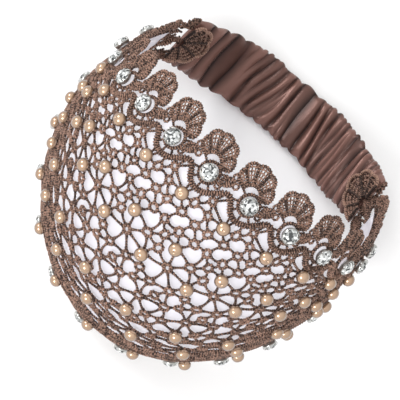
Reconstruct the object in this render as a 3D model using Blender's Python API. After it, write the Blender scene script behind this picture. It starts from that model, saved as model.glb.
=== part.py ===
"""Lace headband: a wide guipure lace band on a sheer lining, closed at the nape by a ruched satin strap.

The band is one closed ring. Three rails run round it, the front edge, the middle and the rear edge, and a
circular arc through the three gives the section at any place. The lace covers the ring over the crown and
the strap covers it at the nape. Everything is drawn flat on that ring, as a distance along it and a
distance across it, and is then lifted off it along its outward normal.

The headband lies on its back, on the strap's middle and on the rear fans. +Z is up, +Y is towards the
strap, X runs from ear to ear, and the origin is at the bottom centre of the whole.
"""
import math
from collections import namedtuple

import bmesh
import bpy
import numpy as np
from mathutils import Matrix, Vector
from mathutils.geometry import delaunay_2d_cdt

MM = 0.001

# Overall form of the ring, in metres
HALF_WIDTH = 77 * MM            # ear to ear, from the middle plane to the widest lace
DEPTH = 122 * MM                # from the seams' line back to the rear fans
HEIGHT = 131 * MM               # front edge of the lace above the table
RIGHT_PULL = 7 * MM             # how far the tighter gathers draw the right side in
FRONT_PULL_SHARE = 0.4          # how much of that the front edge follows

# Lace
LACE_WALL = 1.4 * MM
FAN_PITCH = 21.8 * MM           # one repeat of the lace along the band
FAN_SHIFT = 5.3 * MM            # how far the first notch lies from the lace's middle
FAN_NOTCH = 6.5 * MM            # depth of the notch between two fans
FAN_BUMP = 0.9 * MM             # height of the three bumps round a fan
FAN_BUMPS = 3
SEAM_SHARES = (-0.5, 0.0, 0.5)  # points across each seam, as shares of half its width
GATHER_MOST = 0.30              # the net and its pearls stop where it is gathered to less than this share
EXTRA_PITCH = 11.5 * MM         # spacing of the points that keep closed lace on the curve

# Pearls and stones. A profile's columns are the share of the radius and the share of the height.
PEARL_RADIUS = 3.0 * MM
PEARL_FOOT = 2.2 * MM
PEARL_HEIGHT = 4.0 * MM
PEARL_SIDES = 10
PEARL_PROFILE = ((1.00, 0.36), (0.62, 0.88))
STONE_RADIUS = 4.35 * MM
STONE_HEIGHT = 4.4 * MM
STONE_SIDES = 8
STONE_PROFILE = ((0.80, 0.00), (1.00, 0.36), (1.00, 0.58), (0.55, 1.00))
STONE_INSET = 14.6 * MM         # from the fan tips to the stone's middle
STONE_INSET_SHARE = 0.30        # the same, as the most of a narrow band's width

# Lining
LINING_WALL = 1.0 * MM
LINING_MARGIN = 0.6 * MM        # the lining stops this far inside the notches
LINING_LONG = 28
LINING_CROSS = 8

# Strap
STRAP_WALL = 3.4 * MM
STRAP_FOLDS = 23
STRAP_FOLD_HEIGHT = 1.5 * MM
STRAP_FOLD_STEPS = 4            # stations in one fold
STRAP_ROWS = (0.0, 0.08, 0.36, 0.64, 0.92, 1.0)
STRAP_RIM = 0.33                # share of the wall and of a fold's height left at the strap's long edges
FOLD_SLANT = 0.32               # how far a fold leans across the strap, in folds
FOLD_WANDER = 0.30              # how far the folds' spacing wanders, in folds
FOLD_VARIETY = 0.28             # how much the folds differ in height
STRAP_FADE = 9 * MM             # the folds grow over this length from each seam
STRAP_EDGE_WAVE = 0.9 * MM      # how far a fold pushes the strap's long edges out
REST_HALF_LENGTH = 11 * MM      # half of the flattened stretch that the strap rests on

# Lace motifs on the strap's inner face
TAB_ON_STRAP = 17 * MM
TAB_ON_LACE = 7 * MM
TAB_WALL = 1.2 * MM
TAB_WIDTH_SHARE = 0.80          # of the ring's width at the seam

GAP = 0.3 * MM                  # between pieces that touch
CURVE_ALLOWANCE = 0.90 * MM     # room for flat facets on the curved ring

# Depth of the border behind the fan tips, the same all along, and of the lining's hem
BORDER = STONE_INSET + STONE_RADIUS + PEARL_RADIUS + GAP
LINING_HEM = FAN_NOTCH + FAN_BUMP + LINING_MARGIN
# The lining's outer face below the ring's middle surface
LINING_DEPTH = LACE_WALL / 2 + GAP + CURVE_ALLOWANCE

# Half of the ring from the front's middle to the strap's middle: the front rail, the middle rail and the
# rear rail. x is a share of HALF_WIDTH, y of DEPTH, z of HEIGHT and pull of RIGHT_PULL. The last section of
# the lace is the seam.
Section = namedtuple("Section", "front_x front_y front_z middle_x middle_y middle_z rear_x rear_y rear_z pull")
LACE_SECTIONS = (
    Section(0.00, -0.38, 1.00, 0.00, -0.875, 0.74, 0.00, -1.00, 0.00, 0.0),
    Section(0.44, -0.35, 0.96, 0.54, -0.80, 0.685, 0.53, -0.89, 0.01, 0.6),
    Section(0.78, -0.265, 0.785, 0.91, -0.55, 0.54, 0.92, -0.64, 0.085, 1.0),
    Section(0.885, -0.115, 0.53, 1.00, -0.235, 0.39, 1.00, -0.32, 0.18, 1.0),
    Section(0.77, 0.11, 0.32, 0.79, 0.01, 0.285, 0.795, -0.10, 0.26, 0.5),
)
STRAP_SECTIONS = (
    Section(0.60, 0.205, 0.19, 0.63, 0.08, 0.16, 0.64, -0.04, 0.14, 0.4),
    Section(0.33, 0.292, 0.07, 0.35, 0.158, 0.04, 0.36, 0.022, 0.035, 0.1),
    Section(0.00, 0.307, 0.03, 0.00, 0.178, 0.02, 0.00, 0.044, 0.02, 0.0),
)

# One repeat of the lace. along is a share of FAN_PITCH from the notch, across a share of the width from
# the front edge, size a gap's half length.
Gap = namedtuple("Gap", "along across size")
GAP_SIDES = 6
GAP_CHART = (
    Gap(0.90, 0.175, 4.9 * MM),
    Gap(0.48, 0.245, 6.2 * MM),
    Gap(0.09, 0.352, 6.0 * MM),
    Gap(0.52, 0.418, 5.6 * MM),
    Gap(0.52, 0.517, 5.6 * MM),
    Gap(0.90, 0.582, 5.4 * MM),
    Gap(0.74, 0.668, 5.8 * MM),
    Gap(0.26, 0.726, 5.9 * MM),
    Gap(0.20, 0.822, 5.4 * MM),
)
Pearl = namedtuple("Pearl", "along across")
PEARL_CHART = (
    Pearl(0.39, 0.16),
    Pearl(0.98, 0.27),
    Pearl(0.59, 0.34),
    Pearl(0.02, 0.51),
    Pearl(0.39, 0.60),
    Pearl(0.70, 0.78),
)

# Colour, roughness, metallic
FINISHES = {
    "lace": ((0.238, 0.165, 0.130), 0.85, 0.0),
    "lining": ((0.420, 0.380, 0.400), 0.60, 0.0),
    "satin": ((0.250, 0.150, 0.120), 0.38, 0.0),
    "stone": ((0.780, 0.790, 0.780), 0.08, 0.2),
}


class Ring:
    """The closed ring surface, sampled from the three rails."""

    SAMPLES = 1440

    def __init__(self):
        table = np.array(LACE_SECTIONS + STRAP_SECTIONS)
        left = table[:, :9] * np.tile((-HALF_WIDTH, DEPTH, HEIGHT), 3)
        right = table[:, :9] * np.tile((HALF_WIDTH, DEPTH, HEIGHT), 3)
        right[:, 0] -= table[:, 9] * RIGHT_PULL * FRONT_PULL_SHARE
        right[:, 3] -= table[:, 9] * RIGHT_PULL
        right[:, 6] -= table[:, 9] * RIGHT_PULL
        rows = np.vstack((right, left[-2:0:-1]))
        knots = self._knots(rows)
        spots = np.linspace(0, knots[-1], self.SAMPLES + 1)
        rails = closed_spline(knots, rows, spots)
        self.rails = [rails[:, 0:3], rails[:, 3:6], rails[:, 6:9]]
        steps = [np.linalg.norm(np.diff(rail, axis=0), axis=1) for rail in self.rails]
        travel = np.concatenate(([0], np.cumsum(sum(steps) / 3)))
        seam_row = len(LACE_SECTIONS) - 1
        right_seam, left_seam = np.interp((knots[seam_row], knots[-1 - seam_row]), spots, travel)
        self.travel = travel
        self.length = travel[-1]
        self.half_lace = (right_seam + self.length - left_seam) / 2
        self.middle = right_seam - self.half_lace

    @staticmethod
    def _knots(rows):
        """Spaces the rows by the chords between them, averaged over the rails."""
        closed = np.vstack((rows, rows[:1]))
        chords = np.diff(closed, axis=0).reshape(len(rows), 3, 3)
        return np.concatenate(([0], np.cumsum(np.linalg.norm(chords, axis=2).mean(axis=1))))

    def rail_points(self, along):
        """Front, middle and rear rail points at a distance along the ring from half-way between the seams."""
        travel = (along + self.middle) % self.length
        spot = np.interp(travel, self.travel, np.arange(self.SAMPLES + 1))
        index = min(int(spot), self.SAMPLES - 1)
        share = spot - index
        return [rail[index] * (1 - share) + rail[index + 1] * share for rail in self.rails]

    def surface(self, along, across):
        """Point of the ring's middle surface, across being 0 at the front edge and 1 at the rear edge."""
        return arc_point(*self.rail_points(along), across)

    def width(self, along):
        """Length of the section's arc."""
        points = [self.surface(along, share) for share in np.linspace(0, 1, 9)]
        return sum(np.linalg.norm(b - a) for a, b in zip(points, points[1:]))

    def normal(self, along, across):
        """Outward unit normal."""
        step_along, step_across = 2.0 * MM, 0.02
        du = self.surface(along + step_along, across) - self.surface(along - step_along, across)
        dv = self.surface(along, across + step_across) - self.surface(along, across - step_across)
        normal = np.cross(dv, du)
        return normal / np.linalg.norm(normal)

    def lifted(self, along, across, lift):
        """Point at a height above the middle surface, never below the table."""
        point = self.surface(along, across) + self.normal(along, across) * lift
        point[2] = max(point[2], 0.0)
        return point


def closed_spline(knots, rows, spots):
    """Smooth periodic cubic spline through the rows."""
    count = len(rows)
    steps = np.diff(knots)
    matrix = np.zeros((count, count))
    right = np.zeros(rows.shape)
    for i in range(count):
        before, after = steps[i - 1], steps[i]
        matrix[i, i - 1] += before / 6
        matrix[i, i] += (before + after) / 3
        matrix[i, (i + 1) % count] += after / 6
        right[i] = (rows[(i + 1) % count] - rows[i]) / after - (rows[i] - rows[i - 1]) / before
    bends = np.linalg.solve(matrix, right)
    index = np.clip(np.searchsorted(knots, spots, side="right") - 1, 0, count - 1)
    step = steps[index][:, None]
    left = (knots[index + 1] - spots)[:, None] / step
    share = 1 - left
    following = (index + 1) % count
    curve = left * rows[index] + share * rows[following]
    bend = (left ** 3 - left) * bends[index] + (share ** 3 - share) * bends[following]
    return curve + bend * step ** 2 / 6


def arc_point(first, middle, last, share):
    """Point at a share of the circular arc through three points."""
    to_middle, to_last = middle - first, last - first
    axis = np.cross(to_middle, to_last)
    size = axis @ axis
    from_last = np.cross(axis, to_middle) * (to_last @ to_last)
    from_middle = np.cross(to_last, axis) * (to_middle @ to_middle)
    centre = first + (from_last + from_middle) / (2 * size)
    radius = np.linalg.norm(first - centre)
    east = (first - centre) / radius
    north = np.cross(axis / math.sqrt(size), east)
    sweep = math.atan2((last - centre) @ north, (last - centre) @ east) % (2 * math.pi)
    return centre + radius * (math.cos(sweep * share) * east + math.sin(sweep * share) * north)


class Lace:
    """The lace drawn flat: distances along the band and across it from its middle line."""

    def __init__(self, ring):
        self.ring = ring
        self.half = ring.half_lace
        self.spots = np.linspace(-self.half, self.half, 161)
        self.widths = np.array([ring.width(spot) for spot in self.spots])
        self.crown = self.width(0)

    def width(self, along):
        return float(np.interp(along, self.spots, self.widths))

    def point(self, flat, lift):
        """Lifted point of a flat place."""
        width = self.width(flat[0])
        return self.ring.lifted(flat[0], 0.5 + flat[1] / width, lift)

    def repeats(self):
        """Starts of the repeats that touch the lace."""
        first = math.floor((-self.half - FAN_SHIFT) / FAN_PITCH)
        last = math.ceil((self.half - FAN_SHIFT) / FAN_PITCH)
        return [FAN_SHIFT + number * FAN_PITCH for number in range(first, last)]

    def gathering(self, along):
        """Share of its width at the crown that the net between the borders has here."""
        return max(self.width(along) / 2 - BORDER, 0.0) / (self.crown / 2 - BORDER)

    def chart_place(self, start, charted):
        """Flat place of a charted gap or pearl: the borders keep their depth and the net is gathered."""
        spot = start + charted.along * FAN_PITCH
        return spot, (charted.across - 0.5) * self.crown * self.gathering(spot)

    def edge_inset(self, along):
        """How far the scalloped edge lies inside the rail."""
        phase = ((along - FAN_SHIFT) / FAN_PITCH) % 1.0
        arch = math.sqrt(max(math.sin(math.pi * phase), 0.0))
        bump = abs(math.sin(FAN_BUMPS * math.pi * phase))
        reach = min(1.0, self.width(along) / (4 * BORDER))
        return reach * (FAN_NOTCH * (1 - arch) + FAN_BUMP * (1 - bump))

    def outline(self):
        """Closed outline with the fans of both edges."""
        steps = 3 * FAN_BUMPS
        marks = [start + FAN_PITCH * step / steps for start in self.repeats() for step in range(steps)]
        margin = FAN_PITCH / steps / 2
        inner = [mark for mark in marks if abs(mark) < self.half - margin]
        along = [-self.half] + inner + [self.half]
        reach = [self.width(mark) / 2 - self.edge_inset(mark) for mark in along]
        front = [(mark, -size) for mark, size in zip(along, reach)]
        rear = [(mark, size) for mark, size in zip(along, reach)]
        right = [(self.half, share * reach[-1]) for share in SEAM_SHARES]
        left = [(-self.half, -share * reach[0]) for share in SEAM_SHARES]
        return front + right + rear[::-1] + left

    def pearls(self):
        """Middles of the pearls."""
        places = [self.chart_place(start, pearl) for start in self.repeats() for pearl in PEARL_CHART]
        return [place for place in places if self.gathering(place[0]) > GATHER_MOST]

    def stones(self):
        """Middles of the stones, as (edge name, number, flat place)."""
        places = []
        number = 0
        for start in self.repeats():
            spot = start + FAN_PITCH / 2
            if abs(spot) > self.half - FAN_PITCH / 2:
                continue
            number += 1
            reach = self.width(spot) / 2 - min(STONE_INSET, STONE_INSET_SHARE * self.width(spot))
            places.append(("front", number, (spot, -reach)))
            places.append(("rear", number, (spot, reach)))
        return places

    def gaps(self, pearls):
        """Outlines of the gaps in the net, clear of the pearls, of each other and of the border."""
        taken = [(place, PEARL_FOOT, PEARL_FOOT) for place in pearls]
        outlines = []
        for start in self.repeats():
            for charted in GAP_CHART:
                middle = self.chart_place(start, charted)
                squeeze = self.gathering(middle[0])
                gap = (middle, charted.size, charted.size * squeeze)
                if squeeze > GATHER_MOST and all(self._apart(gap, other) for other in taken):
                    taken.append(gap)
                    outlines.append(ring_outline(*gap, GAP_SIDES))
        return outlines

    @staticmethod
    def _apart(first, second):
        """True where two ellipses, each a middle and two half sizes, leave cloth between them."""
        (middle, long, cross), (other, other_long, other_cross) = first, second
        reach_along = long + other_long + LACE_WALL / 2
        reach_across = cross + other_cross + LACE_WALL / 2
        return math.hypot((other[0] - middle[0]) / reach_along, (other[1] - middle[1]) / reach_across) > 1

    def fillers(self, loops, stones):
        """Points that keep wide closed places on the curve, and one under each stone."""
        edges = [pair for loop in loops for pair in zip(loop, loop[1:] + loop[:1])]
        points = [place for _, _, place in stones]
        rows = int(self.crown / EXTRA_PITCH)
        for along in np.arange(-self.half + EXTRA_PITCH, self.half - EXTRA_PITCH / 2, EXTRA_PITCH):
            for row in range(-rows, rows + 1):
                spot = (float(along) + (row % 2) * EXTRA_PITCH / 2, row * EXTRA_PITCH)
                if abs(spot[1]) > self.width(spot[0]) / 2:
                    continue
                near_edge = any(edge_distance(spot, *edge) < EXTRA_PITCH / 4 for edge in edges)
                if not near_edge and all(math.dist(spot, other) > EXTRA_PITCH / 2 for other in points):
                    points.append(spot)
        return points


def ring_outline(middle, half_long, half_cross, sides):
    """Closed polygon on an ellipse."""
    points = []
    for side in range(sides):
        turn = 2 * math.pi * side / sides
        points.append((middle[0] + half_long * math.cos(turn), middle[1] + half_cross * math.sin(turn)))
    return points


def edge_distance(point, start, end):
    """Distance of a flat point from an edge."""
    run = (end[0] - start[0], end[1] - start[1])
    ahead = (point[0] - start[0]) * run[0] + (point[1] - start[1]) * run[1]
    share = min(max(ahead / (run[0] ** 2 + run[1] ** 2), 0.0), 1.0)
    return math.dist(point, (start[0] + share * run[0], start[1] + share * run[1]))


def inside(point, loop):
    """True where a flat point lies inside a closed polygon."""
    odd = False
    for (ax, ay), (bx, by) in zip(loop, loop[1:] + loop[:1]):
        if (ay > point[1]) != (by > point[1]) and point[0] < (bx - ax) * (point[1] - ay) / (by - ay) + ax:
            odd = not odd
    return odd


def flat_mesh(outline, holes, extras):
    """Triangles of a flat shape with holes, and the index of each loop's points.

    Returns points, triangles turned anticlockwise, and for each loop its point indices.
    """
    loops = [outline] + holes
    points, edges, members = [], [], []
    for loop in loops:
        first = len(points)
        points += loop
        members.append(list(range(first, len(points))))
        edges += [(first + i, first + (i + 1) % len(loop)) for i in range(len(loop))]
    points += extras
    found, _, faces, origins, _, _ = delaunay_2d_cdt([Vector(p) for p in points], edges, [], 0, 1e-7)
    new_index = {old: new for new, olds in enumerate(origins) for old in olds}
    triangles = []
    for face in faces:
        middle = sum((found[i] for i in face), Vector((0, 0))) / 3
        if not inside(middle, outline) or any(inside(middle, hole) for hole in holes):
            continue
        a, b, c = (found[i] for i in face)
        turned = (b - a).cross(c - a) > 0
        triangles.append(tuple(face) if turned else tuple(reversed(face)))
    members = [[new_index[i] for i in loop] for loop in members]
    return [tuple(point) for point in found], triangles, members


class Shell:
    """A closed mesh built from an upper and a lower skin."""

    def __init__(self):
        self.points = []
        self.faces = []

    def add_points(self, points):
        first = len(self.points)
        self.points += [tuple(point) for point in points]
        return list(range(first, len(self.points)))

    def add_skin(self, points, triangles, upward):
        """Adds a skin and returns its point indices."""
        index = self.add_points(points)
        for triangle in triangles:
            corners = [index[i] for i in triangle]
            self.faces.append(corners if upward else corners[::-1])
        return index

    def add_wall(self, upper, lower, outwards):
        """Joins two loops of equal length by a wall."""
        count = len(upper)
        for i in range(count):
            j = (i + 1) % count
            face = (upper[i], lower[i], lower[j], upper[j])
            self.faces.append(face if outwards else face[::-1])

    def add_cap(self, loop):
        self.faces.append(tuple(loop))

    def object(self, name, finish):
        """Makes the named object, with faces pointing out and quads cut to triangles."""
        mesh = bmesh.new()
        corners = [mesh.verts.new(point) for point in self.points]
        for face in self.faces:
            mesh.faces.new([corners[i] for i in face])
        bmesh.ops.delete(mesh, geom=[v for v in mesh.verts if not v.link_faces], context="VERTS")
        bmesh.ops.triangulate(mesh, faces=mesh.faces[:])
        bmesh.ops.recalc_face_normals(mesh, faces=mesh.faces[:])
        data = bpy.data.meshes.new(name)
        mesh.to_mesh(data)
        mesh.free()
        return place_object(name, data, finish)


def place_object(name, data, finish):
    """Links a mesh as an object with its finish."""
    if not data.materials:
        data.materials.append(material(finish))
    thing = bpy.data.objects.new(name, data)
    bpy.context.scene.collection.objects.link(thing)
    return thing


def material(finish):
    """Principled material of a finish, made once."""
    found = bpy.data.materials.get(finish)
    if found:
        return found
    colour, roughness, metallic = FINISHES[finish]
    made = bpy.data.materials.new(finish)
    made.use_nodes = True
    shader = made.node_tree.nodes["Principled BSDF"]
    shader.inputs["Base Color"].default_value = (*colour, 1.0)
    shader.inputs["Roughness"].default_value = roughness
    shader.inputs["Metallic"].default_value = metallic
    return made


def build_lace(lace):
    """The lace panel: scalloped, cut through and set with its pearls."""
    outline = lace.outline()
    pearls = lace.pearls()
    gaps = lace.gaps(pearls)
    feet = [ring_outline(place, PEARL_FOOT, PEARL_FOOT, PEARL_SIDES) for place in pearls]
    fillers = lace.fillers(gaps + feet + [outline], lace.stones())
    shell = Shell()
    skins = []
    for holes, lift in ((gaps + feet, LACE_WALL / 2), (gaps, -LACE_WALL / 2)):
        points, triangles, loops = flat_mesh(outline, holes, fillers)
        index = shell.add_skin([lace.point(point, lift) for point in points], triangles, lift > 0)
        skins.append([[index[i] for i in loop] for loop in loops])
    upper, lower = skins
    for number in range(1 + len(gaps)):
        shell.add_wall(upper[number], lower[number], number == 0)
    for place, foot in zip(pearls, upper[1 + len(gaps):]):
        add_pearl(shell, lace, place, foot)
    return shell.object("lace_panel", "lace")


def add_pearl(shell, lace, place, foot):
    """Raises a flattened bead on the open foot loop."""
    along, across = place[0], 0.5 + place[1] / lace.width(place[0])
    middle = Vector(lace.point(place, LACE_WALL / 2))
    up = Vector(lace.ring.normal(along, across))
    start = (Vector(shell.points[foot[0]]) - middle)
    east = (start - up * start.dot(up)).normalized()
    north = up.cross(east)
    spin = Vector(shell.points[foot[1]]) - middle
    turn = 1 if spin.dot(north) > 0 else -1
    below = foot
    for radius_share, height_share in PEARL_PROFILE:
        radius, height = PEARL_RADIUS * radius_share, PEARL_HEIGHT * height_share
        angles = [turn * 2 * math.pi * side / PEARL_SIDES for side in range(PEARL_SIDES)]
        spokes = [east * math.cos(angle) + north * math.sin(angle) for angle in angles]
        loop = shell.add_points(middle + up * height + spoke * radius for spoke in spokes)
        shell.add_wall(loop, below, True)
        below = loop
    shell.add_cap(below)


def build_lining(ring):
    """The sheer lining: a plain wall just inside the lace."""
    half = ring.half_lace
    shell = Shell()
    skins = []
    for lift in (-LINING_DEPTH, -LINING_DEPTH - LINING_WALL):
        grid = []
        for along in np.linspace(-half, half, LINING_LONG + 1):
            hem = min(LINING_HEM / ring.width(along), 0.2)
            shares = np.linspace(hem, 1 - hem, LINING_CROSS + 1)
            grid.append(shell.add_points(ring.lifted(along, share, lift) for share in shares))
        skins.append(grid)
    add_grid_walls(shell, *skins)
    return shell.object("sheer_lining", "lining")


def add_grid_walls(shell, upper, lower):
    """Covers two matching grids and joins their borders."""
    for grid in (upper, lower):
        for near, far in zip(grid, grid[1:]):
            for i in range(len(near) - 1):
                shell.faces.append((near[i], near[i + 1], far[i + 1], far[i]))
    shell.add_wall(grid_border(upper), grid_border(lower), True)


def grid_border(grid):
    """Point loop round a grid."""
    right = [row[-1] for row in grid]
    left = [row[0] for row in grid]
    return grid[0][:-1] + right[:-1] + grid[-1][:0:-1] + left[:0:-1]


def fold(phase, across, seed):
    """Height share of the ruched satin, from 0 in a valley to 1 on a crest.

    phase counts the folds along the strap. The sines' rates share no common beat, so no two folds are alike.
    """
    slant = FOLD_SLANT * math.sin(1.7 * seed + 0.9 * phase)
    wander = FOLD_WANDER * (math.sin(0.61 * phase + seed) + 0.5 * math.sin(1.43 * phase + 2 * seed))
    wave = math.cos(2 * math.pi * (phase + wander + slant * (across - 0.5)))
    size = 1 - FOLD_VARIETY * (1 - math.sin(1.13 * phase + 3.1 * seed + 2.4 * across))
    return size * (0.5 + 0.5 * wave)


def build_strap(ring):
    """The ruched satin strap, closed by a wall along both edges."""
    start = ring.half_lace + GAP
    end = ring.length - start
    stations = STRAP_FOLDS * STRAP_FOLD_STEPS
    shell = Shell()
    skins = [[], []]
    for station in range(stations + 1):
        share = station / stations
        along = start + (end - start) * share
        phase = share * STRAP_FOLDS
        fade = min(1.0, min(along - start, end - along) / STRAP_FADE)
        rest = abs(along - ring.length / 2) < REST_HALF_LENGTH
        wave = STRAP_EDGE_WAVE / ring.width(along) * fade
        for side, skin in ((1, skins[0]), (-1, skins[1])):
            row = []
            for across in STRAP_ROWS:
                rim = across in (0.0, 1.0)
                height = fold(phase, across, 1.0 + side) * STRAP_FOLD_HEIGHT * fade
                thinning = STRAP_RIM if rim else 1.0
                push = (fold(phase, across, 2.0) - 0.5) * wave * 2
                spread = across + (push if across > 0.5 else -push) * (abs(across - 0.5) > 0.4)
                point = ring.lifted(along, spread, side * thinning * (STRAP_WALL / 2 + height))
                if rest and side > 0 and not rim:
                    point[2] = 0.0
                row.append(tuple(point))
            skin.append(shell.add_points(row))
    add_grid_walls(shell, *skins)
    return shell.object("satin_strap", "satin")


def tab_outline(width):
    """Leaf outline of the lace motif: its scalloped tip on the strap, then its round end on the lace."""
    half = TAB_WIDTH_SHARE * width / 2
    reach = TAB_ON_STRAP - half
    tip, base = [], []
    steps = 4 * FAN_BUMPS
    for step in range(steps + 1):
        turn = math.pi * step / steps
        bump = FAN_BUMP * abs(math.sin(FAN_BUMPS * turn))
        tip.append((half + math.sin(turn) * (reach + bump), -math.cos(turn) * (half + bump)))
        base.append((-math.sin(turn) * TAB_ON_LACE, math.cos(turn) * half))
    return tip + base


def build_tab(ring, name, side):
    """The lace motif over one seam, on the ring's inner face."""
    seam = side * ring.half_lace
    width = ring.width(seam)
    strap_face = STRAP_WALL / 2 + STRAP_FOLD_HEIGHT
    upper = -(max(strap_face, LINING_DEPTH + LINING_WALL) + GAP)
    outline = [(side * along, across) for along, across in tab_outline(width)]
    spots = [(share, cross) for share in (0, 0.3, 0.6) for cross in (-0.2, 0, 0.2)]
    fillers = [(side * share * TAB_ON_STRAP, cross * width) for share, cross in spots]
    points, triangles, loops = flat_mesh(outline, [], fillers)
    shell = Shell()
    skins = []
    for lift, upward in ((upper, True), (upper - TAB_WALL, False)):
        lifted = [ring.lifted(seam + along, 0.5 + across / width, lift) for along, across in points]
        index = shell.add_skin(lifted, triangles, upward)
        skins.append([index[i] for i in loops[0]])
    shell.add_wall(skins[0], skins[1], True)
    return shell.object(name, "lace")


def stone_mesh():
    """A faceted stone in its cup: a flat table, eight crown facets, a girdle and the cup below."""
    shell = Shell()
    loops = []
    for radius_share, height_share in STONE_PROFILE:
        radius = radius_share * STONE_RADIUS
        outline = ring_outline((0, 0), radius, radius, STONE_SIDES)
        loops.append(shell.add_points((x, y, height_share * STONE_HEIGHT) for x, y in outline))
    for lower, upper in zip(loops, loops[1:]):
        shell.add_wall(upper, lower, True)
    shell.add_cap(loops[0])
    shell.add_cap(loops[-1])
    thing = shell.object("stone_pattern", "stone")
    data = thing.data
    bpy.data.objects.remove(thing)
    return data


def build_stones(lace):
    """The stones behind the fans, each standing on the lace."""
    data = stone_mesh()
    made = []
    for edge, number, place in lace.stones():
        across = 0.5 + place[1] / lace.width(place[0])
        up = Vector(lace.ring.normal(place[0], across))
        foot = Vector(lace.point(place, LACE_WALL / 2 + GAP))
        stone = place_object(f"rhinestone_{edge}_{number:02d}", data, "stone")
        stone.matrix_world = Matrix.Translation(foot) @ up.to_track_quat("Z", "Y").to_matrix().to_4x4()
        made.append(stone)
    return made


def centre_on_origin(things):
    """Moves the whole so that its box stands centred on the origin."""
    bpy.context.view_layer.update()
    corners = np.array([thing.matrix_world @ vertex.co for thing in things for vertex in thing.data.vertices])
    low, high = corners.min(axis=0), corners.max(axis=0)
    shift = Vector((-(low[0] + high[0]) / 2, -(low[1] + high[1]) / 2, -low[2]))
    for thing in things:
        thing.matrix_world = Matrix.Translation(shift) @ thing.matrix_world


def clear_scene():
    for thing in list(bpy.data.objects):
        bpy.data.objects.remove(thing, do_unlink=True)


def main():
    clear_scene()
    ring = Ring()
    lace = Lace(ring)
    things = [build_lace(lace), build_lining(ring), build_strap(ring)]
    things.append(build_tab(ring, "lace_end_left", -1))
    things.append(build_tab(ring, "lace_end_right", 1))
    things += build_stones(lace)
    centre_on_origin(things)


main()
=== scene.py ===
"""Looks of the lace headband: guipure net and fans, pearls, stones, sheer lining and ruched satin strap.

Every piece is drawn flat, as a distance along the ring and a distance across it, and is then placed on the
same curved surface as the solids. Lengths are in metres, and tables in millimetres are scaled by MM.
"""
import logging
import math
from dataclasses import dataclass
from enum import Enum
from functools import cache
from typing import Any, Optional

import bmesh
import bpy
import numpy as np
from mathutils import Matrix, Vector
from mathutils.geometry import delaunay_2d_cdt


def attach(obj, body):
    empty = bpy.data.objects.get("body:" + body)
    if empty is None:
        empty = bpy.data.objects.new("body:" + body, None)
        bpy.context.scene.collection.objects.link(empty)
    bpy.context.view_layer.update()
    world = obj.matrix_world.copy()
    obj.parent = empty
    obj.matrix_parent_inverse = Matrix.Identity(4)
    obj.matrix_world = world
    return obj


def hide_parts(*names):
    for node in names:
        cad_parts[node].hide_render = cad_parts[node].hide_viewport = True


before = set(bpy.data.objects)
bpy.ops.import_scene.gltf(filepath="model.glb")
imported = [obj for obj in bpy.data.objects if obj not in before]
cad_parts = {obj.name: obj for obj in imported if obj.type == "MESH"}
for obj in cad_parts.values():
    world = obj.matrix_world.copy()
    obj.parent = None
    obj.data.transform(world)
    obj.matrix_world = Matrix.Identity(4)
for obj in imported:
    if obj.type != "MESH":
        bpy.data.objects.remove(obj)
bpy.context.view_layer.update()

MM = 0.001
GOLDEN = 0.618034
Array = np.ndarray
Mesh = bpy.types.Mesh
Thing = bpy.types.Object
Material = bpy.types.Material
log = logging.getLogger("headband")

# Half of the ring's rows as shares of its sizes: front, middle and rear rail (x, y, z), then the pull share.
SECTIONS = (
    (0.00, -0.38, 1.00, 0.00, -0.875, 0.74, 0.00, -1.00, 0.00, 0.0),
    (0.44, -0.35, 0.96, 0.54, -0.80, 0.685, 0.53, -0.89, 0.01, 0.6),
    (0.78, -0.265, 0.785, 0.91, -0.55, 0.54, 0.92, -0.64, 0.085, 1.0),
    (0.885, -0.115, 0.53, 1.00, -0.235, 0.39, 1.00, -0.32, 0.18, 1.0),
    (0.77, 0.11, 0.32, 0.79, 0.01, 0.285, 0.795, -0.10, 0.26, 0.5),
    (0.60, 0.205, 0.19, 0.63, 0.08, 0.16, 0.64, -0.04, 0.14, 0.4),
    (0.33, 0.292, 0.07, 0.35, 0.158, 0.04, 0.36, 0.022, 0.035, 0.1),
    (0.00, 0.307, 0.03, 0.00, 0.178, 0.02, 0.00, 0.044, 0.02, 0.0),
)
SEAM_ROW = 4

# Pearls of one repeat, as shares of the repeat's length and of the lace's width.
PEARL_CHART = ((0.39, 0.16), (0.98, 0.27), (0.59, 0.34), (0.02, 0.51), (0.39, 0.60), (0.70, 0.78))

# One fan unit in millimetres from the stone's middle: run along the lace and rise towards the fan's tips.
FAN_RIM = ((-9.6, 4.6), (-11.0, 7.6), (-11.5, 10.9), (-9.4, 14.0), (-5.3, 15.5), (-1.0, 15.2), (2.4, 13.3),
           (4.4, 10.4), (5.6, 7.4), (6.0, 4.8))
FAN_HEART = (-2.4, 3.2)
SCROLL = ((-11.5, -2.2), (-8.8, -1.8), (-6.6, -3.8), (-4.2, -6.8), (-0.6, -8.2), (4.0, -7.2), (7.6, -4.6),
          (10.3, -2.2))
PETAL = (8.4, 1.9)
PETAL_OVALS = ((3.1, 1.9), (2.1, 1.0), (0.9, 0.3))
RINGLETS = ((10.2, 5.6, 1.3), (12.4, 2.6, 1.2), (6.2, -1.8, 1.2))
STONE_TIES = (-2.9, -2.25, -1.55, -0.9, -0.2, 0.5, 2.6)

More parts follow.
